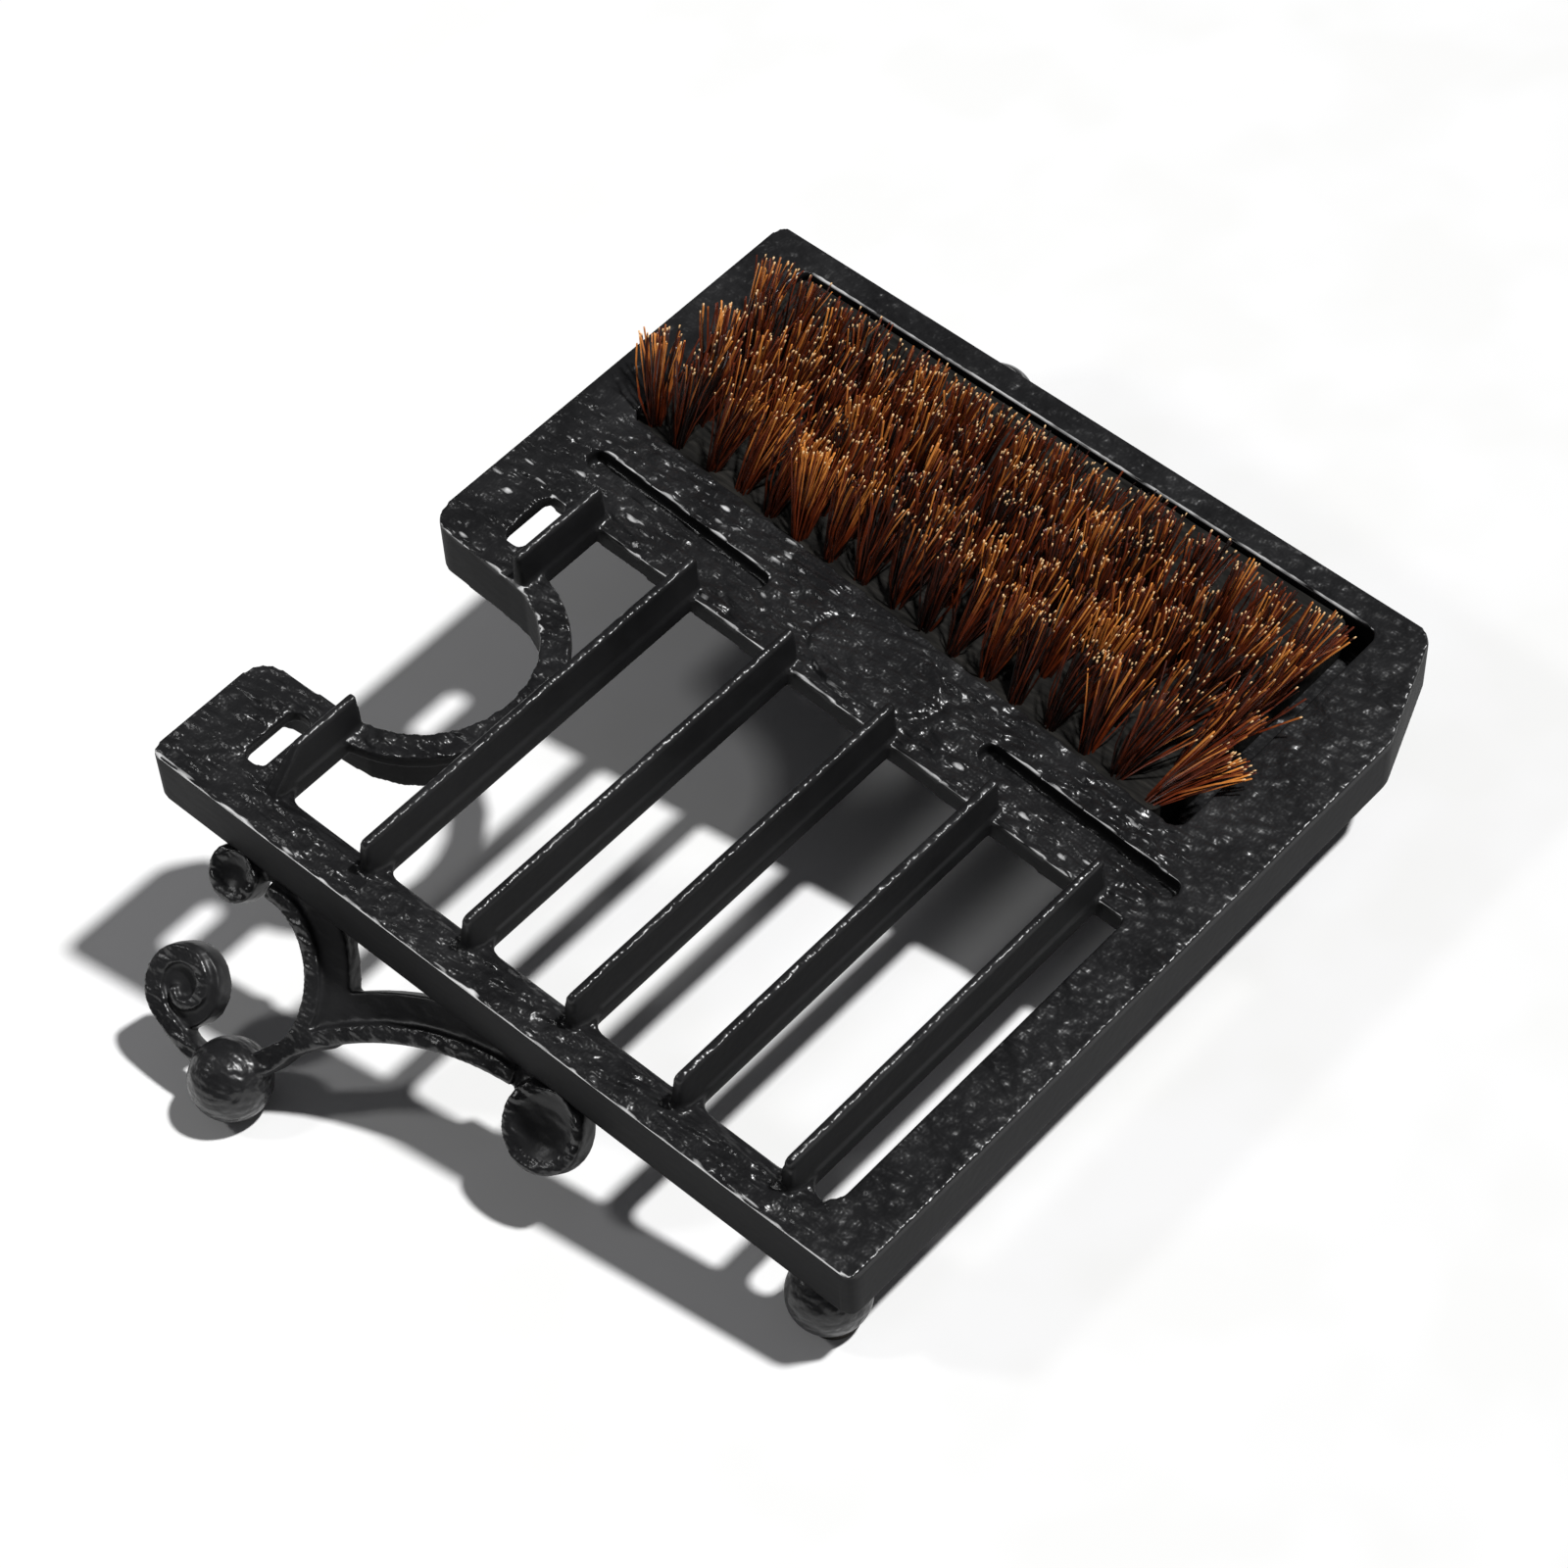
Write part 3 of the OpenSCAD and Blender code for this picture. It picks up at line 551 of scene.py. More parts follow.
def copy_node(node: str, name: str) -> bpy.types.Object:
    """Copies a CAD node's mesh into a new object and merges its loose triangles.

    Args:
        node: The CAD node's name.
        name: The new piece's name.

    Returns:
        The new object, in place.
    """
    piece = bpy.data.objects.new(name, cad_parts[node].data.copy())
    piece.data.materials.clear()
    bpy.context.scene.collection.objects.link(piece)
    pick(piece)
    bpy.ops.object.mode_set(mode="EDIT")
    bpy.ops.mesh.select_all(action="SELECT")
    bpy.ops.mesh.remove_doubles(threshold=MERGE)
    bpy.ops.object.mode_set(mode="OBJECT")
    return piece


def dress(piece: bpy.types.Object, material: bpy.types.Material, slot: Slot,
          *nodes: str) -> None:
    """Gives a finished piece its material and its body, and hides the CAD nodes that it stands for.

    Args:
        piece: The finished object.
        material: Its finish.
        slot: The record's slot for that finish, which is not used here.
        nodes: The CAD nodes that the piece replaces.
    """
    piece.data.materials.clear()
    piece.data.materials.append(material)
    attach(piece, BODY)
    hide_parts(*nodes)
    log.info("%s: %d faces, stands for %s", piece.name, len(piece.data.polygons),
             ", ".join(nodes))


@dataclass(frozen=True)
class Slope:
    """The casting's plane. Drawn flat, its top is z = 0 and its raised front corner the origin."""

    length: float = 296 * MM
    rim: float = 22 * MM
    tilt: float = math.radians(10)

    def matrix(self) -> Matrix:
        """Gives the way from the flat drawing to the part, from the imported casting's own box.

        Returns:
            A turn by the tilt and a shift to the raised corner.
        """
        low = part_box("frame_casting")[0]
        sine, cosine = math.sin(self.tilt), math.cos(self.tilt)
        origin = Vector((low.x + self.rim * sine, low.y,
                         low.z + self.length * sine + self.rim * cosine))
        return Matrix.Translation(origin) @ Matrix.Rotation(self.tilt, 4, "Y")


@dataclass(frozen=True)
class Hammering:
    """The paint's relief on the casting's top: long ridges where it is heavy, pebbles elsewhere.

    A layer is the height at which the noise is cut, so that its three uses differ.
    """

    ridge_along: float = 7.0 * MM
    ridge_across: float = 2.2 * MM
    ridge_height: float = 0.85 * MM
    ridge_layer: float = 0.3
    fine_along: float = 2.1
    fine_across: float = 1.7
    fine_share: float = 0.5
    fine_layer: float = 7.7
    pebble: float = 2.0 * MM
    pebble_height: float = 0.25 * MM
    pebble_layer: float = 3.1

    def height(self, x: float, y: float, heavy: float) -> float:
        """Gives the relief at one place.

        Args:
            x: Place along the casting.
            y: Place across it.
            heavy: How heavy the ridges are there, from 0 to 1.

        Returns:
            The height over the plain face.
        """
        along, across = x / self.ridge_along, y / self.ridge_across
        coarse = noise.noise(Vector((along, across, self.ridge_layer)))
        fine = noise.noise(Vector((along * self.fine_along, across * self.fine_across,
                                   self.fine_layer)))
        pebbles = noise.noise(Vector((x / self.pebble, y / self.pebble, self.pebble_layer)))
        ridges = self.ridge_height * heavy * (coarse + self.fine_share * fine)
        return ridges + self.pebble_height * (1 - heavy) * pebbles


@dataclass(frozen=True)
class EdgeHighlight:
    """Painted highlight along the long edges that face the scroll side, most on the outer front
    one.

    Leans and spreads are degrees from straight up.
    """

    lean: float = 42.0
    outer_spread: float = 36.0
    inner_spread: float = 26.0
    least_up: float = 0.2
    most_along: float = 0.45
    depth: float = 3.2 * MM
    outer_width: float = 1.6 * MM
    inner_from: float = 115 * MM
    inner_share: float = 0.85
    patch: float = 6 * MM
    patch_share: float = 0.5
    patch_layer: float = 1.7
    least: float = 0.3
    oval_clear: float = 4 * MM
    oval_share: float = 0.5

    def share(self, points: np.ndarray, normals: np.ndarray, off_oval: np.ndarray) -> np.ndarray:
        """Gives how much painted highlight the flat casting's edges take.

        Args:
            points: Its vertices.
            normals: Their normals.
            off_oval: Their distances from the oval's rim.

        Returns:
            One value from 0 to 1 a vertex.
        """
        up = normals[:, 2]
        outer = points[:, 1] < self.outer_width
        lean = np.degrees(np.arctan2(-normals[:, 1], np.maximum(up, TINY)))
        spread = np.where(outer, self.outer_spread, self.inner_spread)
        # Painted highlight: strongest where the rounded edge's face has this lean towards the
        # front.
        edge = np.exp(-((lean - self.lean) / spread) ** 2)
        edge *= (up > self.least_up) & (np.abs(normals[:, 0]) < self.most_along)
        edge *= (points[:, 2] > -self.depth) & (outer | (points[:, 1] > self.inner_from))
        patches = np.array([noise.noise(Vector((x / self.patch, y / self.patch, self.patch_layer)))
                            for x, y in points[:, :2]])
        painted_highlight = np.where(outer, 1.0, self.inner_share) + self.patch_share * patches
        near_oval = np.where(off_oval < self.oval_clear, self.oval_share, 1.0)
        return edge * np.clip(painted_highlight, self.least, 1) * near_oval


@dataclass
class Casting:
    """The sloping frame with its blades, softened as a sand casting and hammered on top.

    Fields that end in _up are the upward part of a normal. In a pair, the second value is the width
    over which the change takes place.
    """

    slope: Slope
    hammering: Hammering = Hammering()
    highlight_edges: EdgeHighlight = EdgeHighlight()
    voxel: float = 0.9 * MM
    soft_passes: int = 3
    triangles: int = 190_000
    plain_up: float = 0.3
    plain_bias: float = 8
    right_rail: float = 21 * MM
    rail_fade: float = 8 * MM
    well_front: tuple[float, float] = (203.5 * MM, 185 * MM)
    well_fade: float = 4 * MM
    oval_place: tuple[float, float] = (153 * MM, 174.4 * MM)
    oval_size: tuple[float, float] = (25 * MM, 14.5 * MM)
    groove_depth: float = 0.55 * MM
    groove_away: float = 0.9 * MM
    groove_width: float = 0.8 * MM
    ring_radius: float = 4.5 * MM
    ring_width: float = 0.8 * MM
    ring_height: float = 0.6 * MM
    ring_ridges: float = 0.2
    screw_ends: tuple[tuple[float, float], ...] = ((62 * MM, 7 * MM), (166 * MM, 7 * MM))
    dimple: tuple[float, float] = (101 * MM, 8 * MM)
    plug_corners: int = 48
    plug_radius: float = 5 * MM
    plug_depth: float = 3 * MM
    plug_sunk: float = 0.55 * MM
    face_up: float = 0.8
    face_blend: float = 0.17
    face_low: float = -4 * MM
    blade_low: float = 3 * MM
    blade_relief: float = 0.4
    coarse_up: tuple[float, float] = (0.7, 0.25)
    least_coarse: float = 0.6
    glossy_up: tuple[float, float] = (0.1, 0.3)

    def build(self, finish: bpy.types.Material) -> None:
        """Makes the piece from the CAD node.

        Args:
            finish: The painted iron.
        """
        piece = copy_node("frame_casting", "casting")
        flat = self.slope.matrix()
        piece.data.transform(flat.inverted())
        self.paint_over(piece)
        soften(piece, self.voxel, self.soft_passes)
        self.hammer(piece)
        self.lighten(piece)
        self.skin(piece)
        piece.data.transform(flat)
        bpy.ops.object.shade_smooth()
        dress(piece, finish, Slot.IRON, "frame_casting")

    def paint_over(self, piece: bpy.types.Object) -> None:
        """Closes the two screw holes in the front rail with paint, a little below the face.

        Args:
            piece: The copied casting, flat.
        """
        for x, y in self.screw_ends:
            middle = (x, y, -self.plug_sunk - self.plug_depth / 2)
            add_plug(piece, self.plug_corners, self.plug_radius, self.plug_depth, middle)

    def lighten(self, piece: bpy.types.Object) -> None:
        """Cuts the number of faces, mostly where no lumps show.

        Args:
            piece: The hammered casting.
        """
        group = piece.vertex_groups.new(name="plain")
        plain = normals_of(piece)[:, 2] < self.plain_up
        group.add(np.flatnonzero(plain).tolist(), 1.0, "REPLACE")
        ratio = self.triangles / (2 * len(piece.data.polygons))
        shape(piece, "DECIMATE", ratio=min(1.0, ratio), vertex_group=group.name,
              vertex_group_factor=self.plain_bias)
        piece.vertex_groups.clear()

    def heavy(self, x: float, y: float) -> float:
        """Gives how heavy the paint's ridges are: full before the brush's well, else none.

        Args:
            x: Place along the casting.
            y: Place across it.

        Returns:
            A share from 0 to 1.
        """
        high, low = self.well_front
        front = high + (low - high) * x / self.slope.length
        before = (front + self.well_fade / 2 - y) / self.well_fade
        inside = (self.slope.length - self.right_rail + self.rail_fade / 2 - x) / self.rail_fade
        return min(1.0, max(0.0, before)) * min(1.0, max(0.0, inside))

    def off_oval(self, x: float, y: float) -> float:
        """Gives the distance out from the rim of the oval boss.

        Args:
            x: Place along the casting.
            y: Place across it.

        Returns:
            The distance, less than 0 on the boss.
        """
        across = math.hypot((x - self.oval_place[0]) / self.oval_size[0],
                            (y - self.oval_place[1]) / self.oval_size[1])
        return (across - 1) * self.oval_size[1]

    def relief(self, x: float, y: float) -> float:
        """Gives the height of the hammering, the screw rings and the oval's rim on the top face.

        Args:
            x: Place along the casting.
            y: Place across it.

        Returns:
            The height over the plain face.
        """
        heavy, oval = self.heavy(x, y), self.off_oval(x, y)
        marks = [math.hypot(x - mark_x, y - mark_y)
                 for mark_x, mark_y in (*self.screw_ends, self.dimple)]
        if oval < 0 or min(marks) < self.ring_radius + self.ring_width:
            heavy *= self.ring_ridges
        height = self.hammering.height(x, y, heavy)
        off_groove = (oval - self.groove_away) / self.groove_width
        height -= self.groove_depth * math.exp(-off_groove ** 2)
        for mark in marks:
            away = (mark - self.ring_radius) / self.ring_width
            height += self.ring_height * math.exp(-away * away)
        return height

    def hammer(self, piece: bpy.types.Object) -> None:
        """Raises the relief on the faces that look up, and leaves their edges even.

        Args:
            piece: The softened casting, still flat.
        """
        points, normals = points_of(piece), normals_of(piece)
        for i in np.flatnonzero((normals[:, 2] > self.face_up) & (points[:, 2] > self.face_low)):
            share = min(1.0, (normals[i, 2] - self.face_up) / self.face_blend)
            if points[i, 2] > self.blade_low:
                share *= self.blade_relief
            points[i, 2] += self.relief(points[i, 0], points[i, 1]) * share
        put_points(piece, points)

    def skin(self, piece: bpy.types.Object) -> None:
        """Stores how coarse and how glossy the paint is at each vertex, and its painted highlight.

        The faces that look up are coarse, they and their edges are glossy, and the long edges that
        face the scroll side take a pale painted highlight, though not on the blades.

        Args:
            piece: The hammered casting, still flat.
        """
        points, normals = points_of(piece), normals_of(piece)
        up = normals[:, 2]
        heavy = np.array([self.heavy(x, y) for x, y in points[:, :2]])
        off_oval = np.array([self.off_oval(x, y) for x, y in points[:, :2]])
        blade = points[:, 2] > self.blade_low
        coarse = np.clip((up - self.coarse_up[0]) / self.coarse_up[1], 0, 1)
        heavy_coarse = self.least_coarse + (1 - self.least_coarse) * heavy
        put_attribute(piece, "grain", coarse * np.where(blade, self.least_coarse, heavy_coarse))
        put_attribute(piece, "polish", np.clip((up - self.glossy_up[0]) / self.glossy_up[1], 0, 1))
        # The long edges take a pale painted highlight, none on the blades.
        edge_highlight = self.highlight_edges.share(points, normals, off_oval)
        put_attribute(piece, "edge_highlight", np.where(blade, 0, edge_highlight))


class Side(Enum):
    """Which way a scroll leg leans out from the casting."""

    FRONT = 1
    BACK = -1


@dataclass
class ScrollLeg:
    """One scroll leg with its ball, softened until its ribs and curls are round.

    At the turn upright the leg would hang straight down, and splay leans it out. curls gives the
    middle and the radius of the small and the large curl, in the leg's own plane.
    """

    slope: Slope
    side: Side
    splay: float
    inset: float = 3 * MM
    upright: float = math.radians(270)
    rib_face: float = 2.9 * MM
    ball_radius: float = 14 * MM
    ball_reach: float = 1.03
    curls: tuple[tuple[float, float, float], ...] = ((39 * MM, 8 * MM, 10 * MM),
                                                      (177.5 * MM, 13 * MM, 15 * MM))
    curl_corners: int = 64
    curl_fill: float = 3.8 * MM
    curl_rim: float = 2.6 * MM
    dish: float = 0.27
    dish_normal_z: float = -0.3
    voxel: float = 0.75 * MM
    soft_passes: int = 9
    triangles: int = 120_000
    ball_grain: float = 0.45
    plain_grain: float = 0.15
    rib_grain: float = 0.55
    least_polish: float = 0.55

    def build(self, finish: bpy.types.Material) -> None:
        """Makes the piece from the CAD node.

        Args:
            finish: The painted iron.
        """
        node = f"{self.side.name.lower()}_leg"
        piece = copy_node(node, f"scroll_{node}")
        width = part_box("frame_casting")[1].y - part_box("frame_casting")[0].y
        edge = self.inset if self.side is Side.FRONT else width - self.inset
        turn = Matrix.Rotation(self.side.value * (self.upright - self.splay), 4, "X")
        plane = self.slope.matrix() @ Matrix.Translation((0, edge, -self.slope.rim)) @ turn
        piece.data.transform(plane.inverted())
        self.fill_curls(piece)
        soften(piece, self.voxel, self.soft_passes)
        self.dish_curls(piece)
        faces = 2 * len(piece.data.polygons)
        shape(piece, "DECIMATE", ratio=min(1.0, self.triangles / faces))
        grain = self.grain(piece)
        put_attribute(piece, "grain", grain)
        put_attribute(piece, "polish", np.clip(self.least_polish + grain, 0, 1))
        piece.data.transform(plane)
        bpy.ops.object.shade_smooth()
        dress(piece, finish, Slot.IRON, node)

    def fill_curls(self, piece: bpy.types.Object) -> None:
        """Fills the two curls flush with their rims, ready to be dished.

        Args:
            piece: The copied leg, in its own plane.
        """
        for x, y, radius in self.curls:
            middle = (x, self.side.value * y, -self.curl_fill / 2)
            add_plug(piece, self.curl_corners, radius - self.curl_rim, self.curl_fill, middle)

    def dish_curls(self, piece: bpy.types.Object) -> None:
        """Sinks a round dish into the outer face of each curl.

        Args:
            piece: The softened leg, in its own plane.
        """
        points, normals = points_of(piece), normals_of(piece)
        for x, y, radius in self.curls:
            inner = radius - self.curl_rim
            away = np.hypot(points[:, 0] - x, points[:, 1] - self.side.value * y) / inner
            face = (away < 1) & (points[:, 2] < 0) & (normals[:, 2] < self.dish_normal_z)
            points[face, 2] += self.dish * inner * (1 - away[face] ** 2)
        put_points(piece, points)

    def grain(self, piece: bpy.types.Object) -> np.ndarray:
        """Gives how coarse the paint is: most on the ribs' outer faces and on the ball.

        Args:
            piece: The softened leg, in its own plane.

        Returns:
            One value from 0 to 1 a vertex.
        """
        points = points_of(piece)
        outer = (points[:, 2] < -self.rib_face) * np.clip(-normals_of(piece)[:, 2], 0, 1)
        tip = points[np.abs(points[:, 1]).argmax()]
        middle = tip - (0, math.copysign(self.ball_radius, tip[1]), 0)
        ball = np.linalg.norm(points - middle, axis=1) < self.ball_reach * self.ball_radius
        return np.where(ball, self.ball_grain, self.plain_grain + self.rib_grain * outer)


@dataclass
class BallFeet:
    """The two ball feet at the low end, with the rubber pads that they stand on."""

    voxel: float = 0.7 * MM
    soft_passes: int = 3
    grain: float = 0.4
    polish: float = 0.9
    pad_corners: int = 64
    pad_radius: float = 8 * MM
    pad_height: float = 3 * MM
    pad_edge: float = 0.5 * MM
    sole_normal_z: float = -0.9
    groove: float = 1.2 * MM
    groove_wall: float = 0.25
    groove_depth: float = 0.5 * MM
    sharp: float = math.radians(50)
    smooth_under: float = math.radians(40)

    def build(self, iron: bpy.types.Material, rubber: bpy.types.Material) -> None:
        """Makes both feet and both pads.

        Args:
            iron: The painted iron.
            rubber: The pads' rubber.
        """
        for place in ("front", "back"):
            foot = copy_node(f"{place}_ball_foot", f"{place}_ball")
            soften(foot, self.voxel, self.soft_passes)
            bpy.ops.object.shade_smooth()
            put_attribute(foot, "grain", np.full(len(foot.data.vertices), self.grain))
            put_attribute(foot, "polish", np.full(len(foot.data.vertices), self.polish))
            dress(foot, iron, Slot.IRON, f"{place}_ball_foot")
            self.pad(place, rubber)

    def pad(self, place: str, rubber: bpy.types.Material) -> None:
        """Models a pad with ring grooves in the face that meets the floor.

        Args:
            place: Which foot it is under.
            rubber: The pad's finish.
        """
        low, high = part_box(f"{place}_foot_pad")
        deselect_all()
        bpy.ops.mesh.primitive_cylinder_add(vertices=self.pad_corners, radius=self.pad_radius,
                                            depth=self.pad_height, location=(low + high) / 2)
        piece = bpy.context.object
        piece.name = f"{place}_pad"
        bpy.ops.object.transform_apply(location=True)
        bpy.ops.object.mode_set(mode="EDIT")
        bpy.ops.mesh.select_all(action="DESELECT")
        bpy.ops.object.mode_set(mode="OBJECT")
        for face in piece.data.polygons:
            face.select = face.normal.z < self.sole_normal_z
        bpy.ops.object.mode_set(mode="EDIT")
        for step in (self.groove_depth, -self.groove_depth, self.groove_depth):
            bpy.ops.mesh.inset(thickness=self.groove)
            bpy.ops.mesh.inset(thickness=self.groove * self.groove_wall)
            bpy.ops.transform.translate(value=(0, 0, step))
        bpy.ops.object.mode_set(mode="OBJECT")
        round_edges(piece, self.pad_edge, 3, self.sharp, self.smooth_under)
        dress(piece, rubber, Slot.PAD, f"{place}_foot_pad")


@dataclass
class Fixings:
    """Slotted screws and washers under the casting, with rounded edges."""

    slope: Slope
    seed: int = 11
    edge: float = 0.45 * MM
    sharp: float = math.radians(50)
    smooth_under: float = math.radians(35)
    slot_width: float = 1.1 * MM
    slot_depth: float = 1.2 * MM
    slot_length: float = 14 * MM

    def round_off(self, piece: bpy.types.Object) -> None:
        """Rounds the sharp edges of a piece and shades its turned faces smooth."""
        round_edges(piece, self.edge, 3, self.sharp, self.smooth_under)

    def screws(self, node: str, finish: bpy.types.Material) -> None:
        """Makes one set of screws, with a slot across each head.

        Args:
            node: The CAD node that holds the set.
            finish: The screws' steel.
        """
        piece = copy_node(node, node.replace("_screws", "_slotted_screws"))
        flat = self.slope.matrix()
        piece.data.transform(flat.inverted())
        self.round_off(piece)
        draw = np.random.default_rng(self.seed)
        points = points_of(piece)
        head = points[:, 2].min()
        low = points[points[:, 2] < head + self.slot_depth]
        for middle in self.middles(low[:, :2]):
            deselect_all()
            bpy.ops.mesh.primitive_cube_add(size=1, location=(*middle, head))
            cutter = bpy.context.object
            cutter.scale = (self.slot_length, self.slot_width, 2 * self.slot_depth)
            cutter.rotation_euler = (0, 0, draw.uniform(0, math.pi))
            bpy.ops.object.transform_apply(location=True, rotation=True, scale=True)
            shape(piece, "BOOLEAN", object=cutter, operation="DIFFERENCE", solver="EXACT")
            bpy.data.objects.remove(cutter)
        piece.data.transform(flat)
        dress(piece, finish, Slot.SCREW, node)

    def middles(self, plan: np.ndarray) -> list[np.ndarray]:
        """Gives the middle of each cluster of points in plan.

        Args:
            plan: Points of the screw heads, seen from above.

        Returns:
            One point a screw.
        """
        found: list[np.ndarray] = []
        left = plan
        while len(left):
            near = np.hypot(*(left - left[0]).T) < self.slot_length
            found.append((left[near].min(0) + left[near].max(0)) / 2)
            left = left[~near]
        return found

    def washers(self, node: str, finish: bpy.types.Material) -> None:
        """Makes one set of washers with rounded rims.

        Args:
            node: The CAD node that holds the set.
            finish: The washers' steel.
        """
        piece = copy_node(node, node.replace("_washers", "_round_washers"))
        self.round_off(piece)
        dress(piece, finish, Slot.WASHER, node)


@dataclass(frozen=True)
class Tuft:
    """A tuft's fibres: how many, how thick, how unevenly they fan out and bend, and their colour.

    Pairs are the low and high ends of a range. Shares and factors have no unit. The colour is dye,
    with painted shade at a strand's foot and a painted glint on some cut ends.
    """

    radius: float = 2.4 * MM
    drift: float = 0.5 * MM
    lean: float = 1.6 * MM
    fan: float = 4.4 * MM
    fan_range: tuple[float, float] = (0.75, 1.3)
    fibres: tuple[int, int] = (34, 56)
    length: float = 33 * MM
    length_range: tuple[float, float] = (0.88, 1.0)
    fibre_radius: float = 0.40 * MM
    width_range: tuple[float, float] = (0.75, 1.2)
    tip_share: float = 0.75
    stray: float = 2.7 * MM
    stray_limit: float = 1.8
    wild: float = 0.02
    wild_stray: float = 2.2
    most_lean: float = 0.93
    bend_power: float = 1.2
    sway: float = 0.9 * MM
    ring_shares: tuple[float, ...] = (0.42, 0.78, 0.975)
    dye: tuple[float, float] = (0.8, 1.35)
    tuft_dye: float = 0.15
    # The share of its shade that a strand keeps at its foot: painted shade deep in the tuft.
    foot_shade: float = 0.22
    # The share of cut ends that get a painted glint.
    glint_ends: float = 0.35
    end_share: float = 0.99
    smooth_under: float = math.radians(60)


@dataclass
class Brush:
    """The brush: a wooden block and rows of tufts, each a bundle of cut fibres that fans out."""

    slope: Slope
    tuft: Tuft = Tuft()
    seed: int = 5
    rows: int = 5
    row_start: float = 0.75
    x_low: float = 20.4 * MM
    x_high: float = 255 * MM
    front_high: float = 203.9 * MM
    front_low: float = 185.4 * MM
    back: float = 260.6 * MM
    top: float = -3 * MM
    layer: float = 2 * MM
    end_margin: float = 4.5 * MM
    end_slack: float = 1 * MM
    tuft_pitch: float = 13.9 * MM
    start_shift: float = 9 * MM
    back_lean: float = 19 * MM
    left_lean: float = 18 * MM
    right_lean: float = 25 * MM
    right_floor: float = 0.22
    right_power: float = 1.6
    corner_lean: float = 7 * MM
    lean_zone: float = 40 * MM
    block_lid: float = 1 * MM
    block_edge: float = 0.7 * MM
    sharp: float = math.radians(60)
    smooth_under: float = math.radians(35)

    def front(self, x: np.ndarray) -> np.ndarray:
        """Gives the front edge of the block at places along it."""
        return self.front_high + (self.front_low - self.front_high) * x / self.slope.length

    def block(self, finish: bpy.types.Material) -> None:
        """Makes the block, with the layer that holds the tufts on top of it.

        Args:
            finish: The block's wood.
        """
        piece = copy_node("brush_block", "tufted_block")
        flat = self.slope.matrix()
        piece.data.transform(flat.inverted())
        points = points_of(piece)
        points[points[:, 2] > points[:, 2].max() - self.block_lid, 2] = self.top
        put_points(piece, points)
        round_edges(piece, self.block_edge, 2, self.sharp, self.smooth_under)
        piece.data.transform(flat)
        dress(piece, finish, Slot.WOOD, "brush_block")

    def strand(self) -> tuple[np.ndarray, list[list[int]]]:
        """Models one four-sided strand of unit length and radius, with rings where it bends.

        Returns:
            Its points, with z as the share of its length, and its faces.
        """
        deselect_all()
        bpy.ops.mesh.primitive_cylinder_add(vertices=4, radius=1, depth=1, location=(0, 0, 0.5))
        piece = bpy.context.object
        bpy.ops.object.transform_apply(location=True)
        bpy.ops.object.mode_set(mode="EDIT")
        for share in self.tuft.ring_shares:
            bpy.ops.mesh.select_all(action="SELECT")
            bpy.ops.mesh.bisect(plane_co=(0, 0, share), plane_no=(0, 0, 1))
        bpy.ops.object.mode_set(mode="OBJECT")
        points = points_of(piece)
        faces = [list(face.vertices) for face in piece.data.polygons]
        bpy.data.objects.remove(piece)
        return points, faces

    def middles(self, row: int) -> np.ndarray:
        """Gives the middles of a row's tufts in plan, every other row set half a pitch along.

        Args:
            row: The row's number, from 1 at the front.

        Returns:
            One point a tuft.
        """
        share = (row - self.row_start) / self.rows
        start = self.x_low + self.end_margin + (1 - row % 2) * self.tuft_pitch / 2
        start += self.start_shift * math.sin(math.pi * share)
        along = np.arange(start, self.x_high - self.end_margin + self.end_slack, self.tuft_pitch)
        end = self.x_high - self.end_margin * (1 - share)
        along += (end - along[-1]) * (along - start) / (along[-1] - start)
        front = self.front(along)
        return np.stack([along, front + (self.back - front) * share], axis=1)

    def lean(self, plan: np.ndarray) -> np.ndarray:
        """Gives how far the tips lean: all to the back, the end ones out, most at the front.

        Args:
            plan: Strand feet in plan.

        Returns:
            One shift in plan a strand.
        """
        x, y = plan.T
        across = np.clip((y - self.front(x)) / (self.back - self.front(x)), 0, 1)
        left = np.clip(1 - (x - self.x_low) / self.lean_zone, 0, 1) ** 2 * (1 - across)
        right = np.clip(1 - (self.x_high - x) / self.lean_zone, 0, 1) ** 2
        right *= np.maximum((1 - across) ** self.right_power, self.right_floor)
        to_back = self.back_lean + self.corner_lean * right
        return np.stack([self.right_lean * right - self.left_lean * left, to_back], axis=1)

    def tips(self, draw: np.random.Generator, foot: np.ndarray, spoke: np.ndarray,
             owner: np.ndarray) -> tuple[np.ndarray, np.ndarray]:
        """Gives where the fibres of a row end.

        Args:
            draw: The row's random numbers.
            foot: The fibres' feet in plan.
            spoke: Their places in their tufts, as shares of the tuft's radius.
            owner: The number of each fibre's tuft.

        Returns:
            How far each tip is from its foot in plan, and how high it rises.
        """
        tuft, count, tufts = self.tuft, len(owner), owner[-1] + 1
        tuft_lean = draw.normal(0, tuft.lean, (tufts, 2))[owner]
        fan = tuft.fan * draw.uniform(*tuft.fan_range, tufts)[owner, None]
        wild = draw.uniform(0, 1, count) < tuft.wild
        stray = tuft.stray * np.where(wild, tuft.wild_stray, 1)[:, None]
        spread = np.clip(draw.normal(0, 1, (count, 2)), -tuft.stray_limit, tuft.stray_limit)
        out = fan * spoke + self.lean(foot) + tuft_lean + stray * spread
        length = tuft.length * draw.uniform(*tuft.length_range, count)
        limit = np.minimum(1, tuft.most_lean * length / np.maximum(np.hypot(*out.T), TINY))
        out = out * limit[:, None]
        return out, np.sqrt(length ** 2 - np.hypot(*out.T) ** 2)

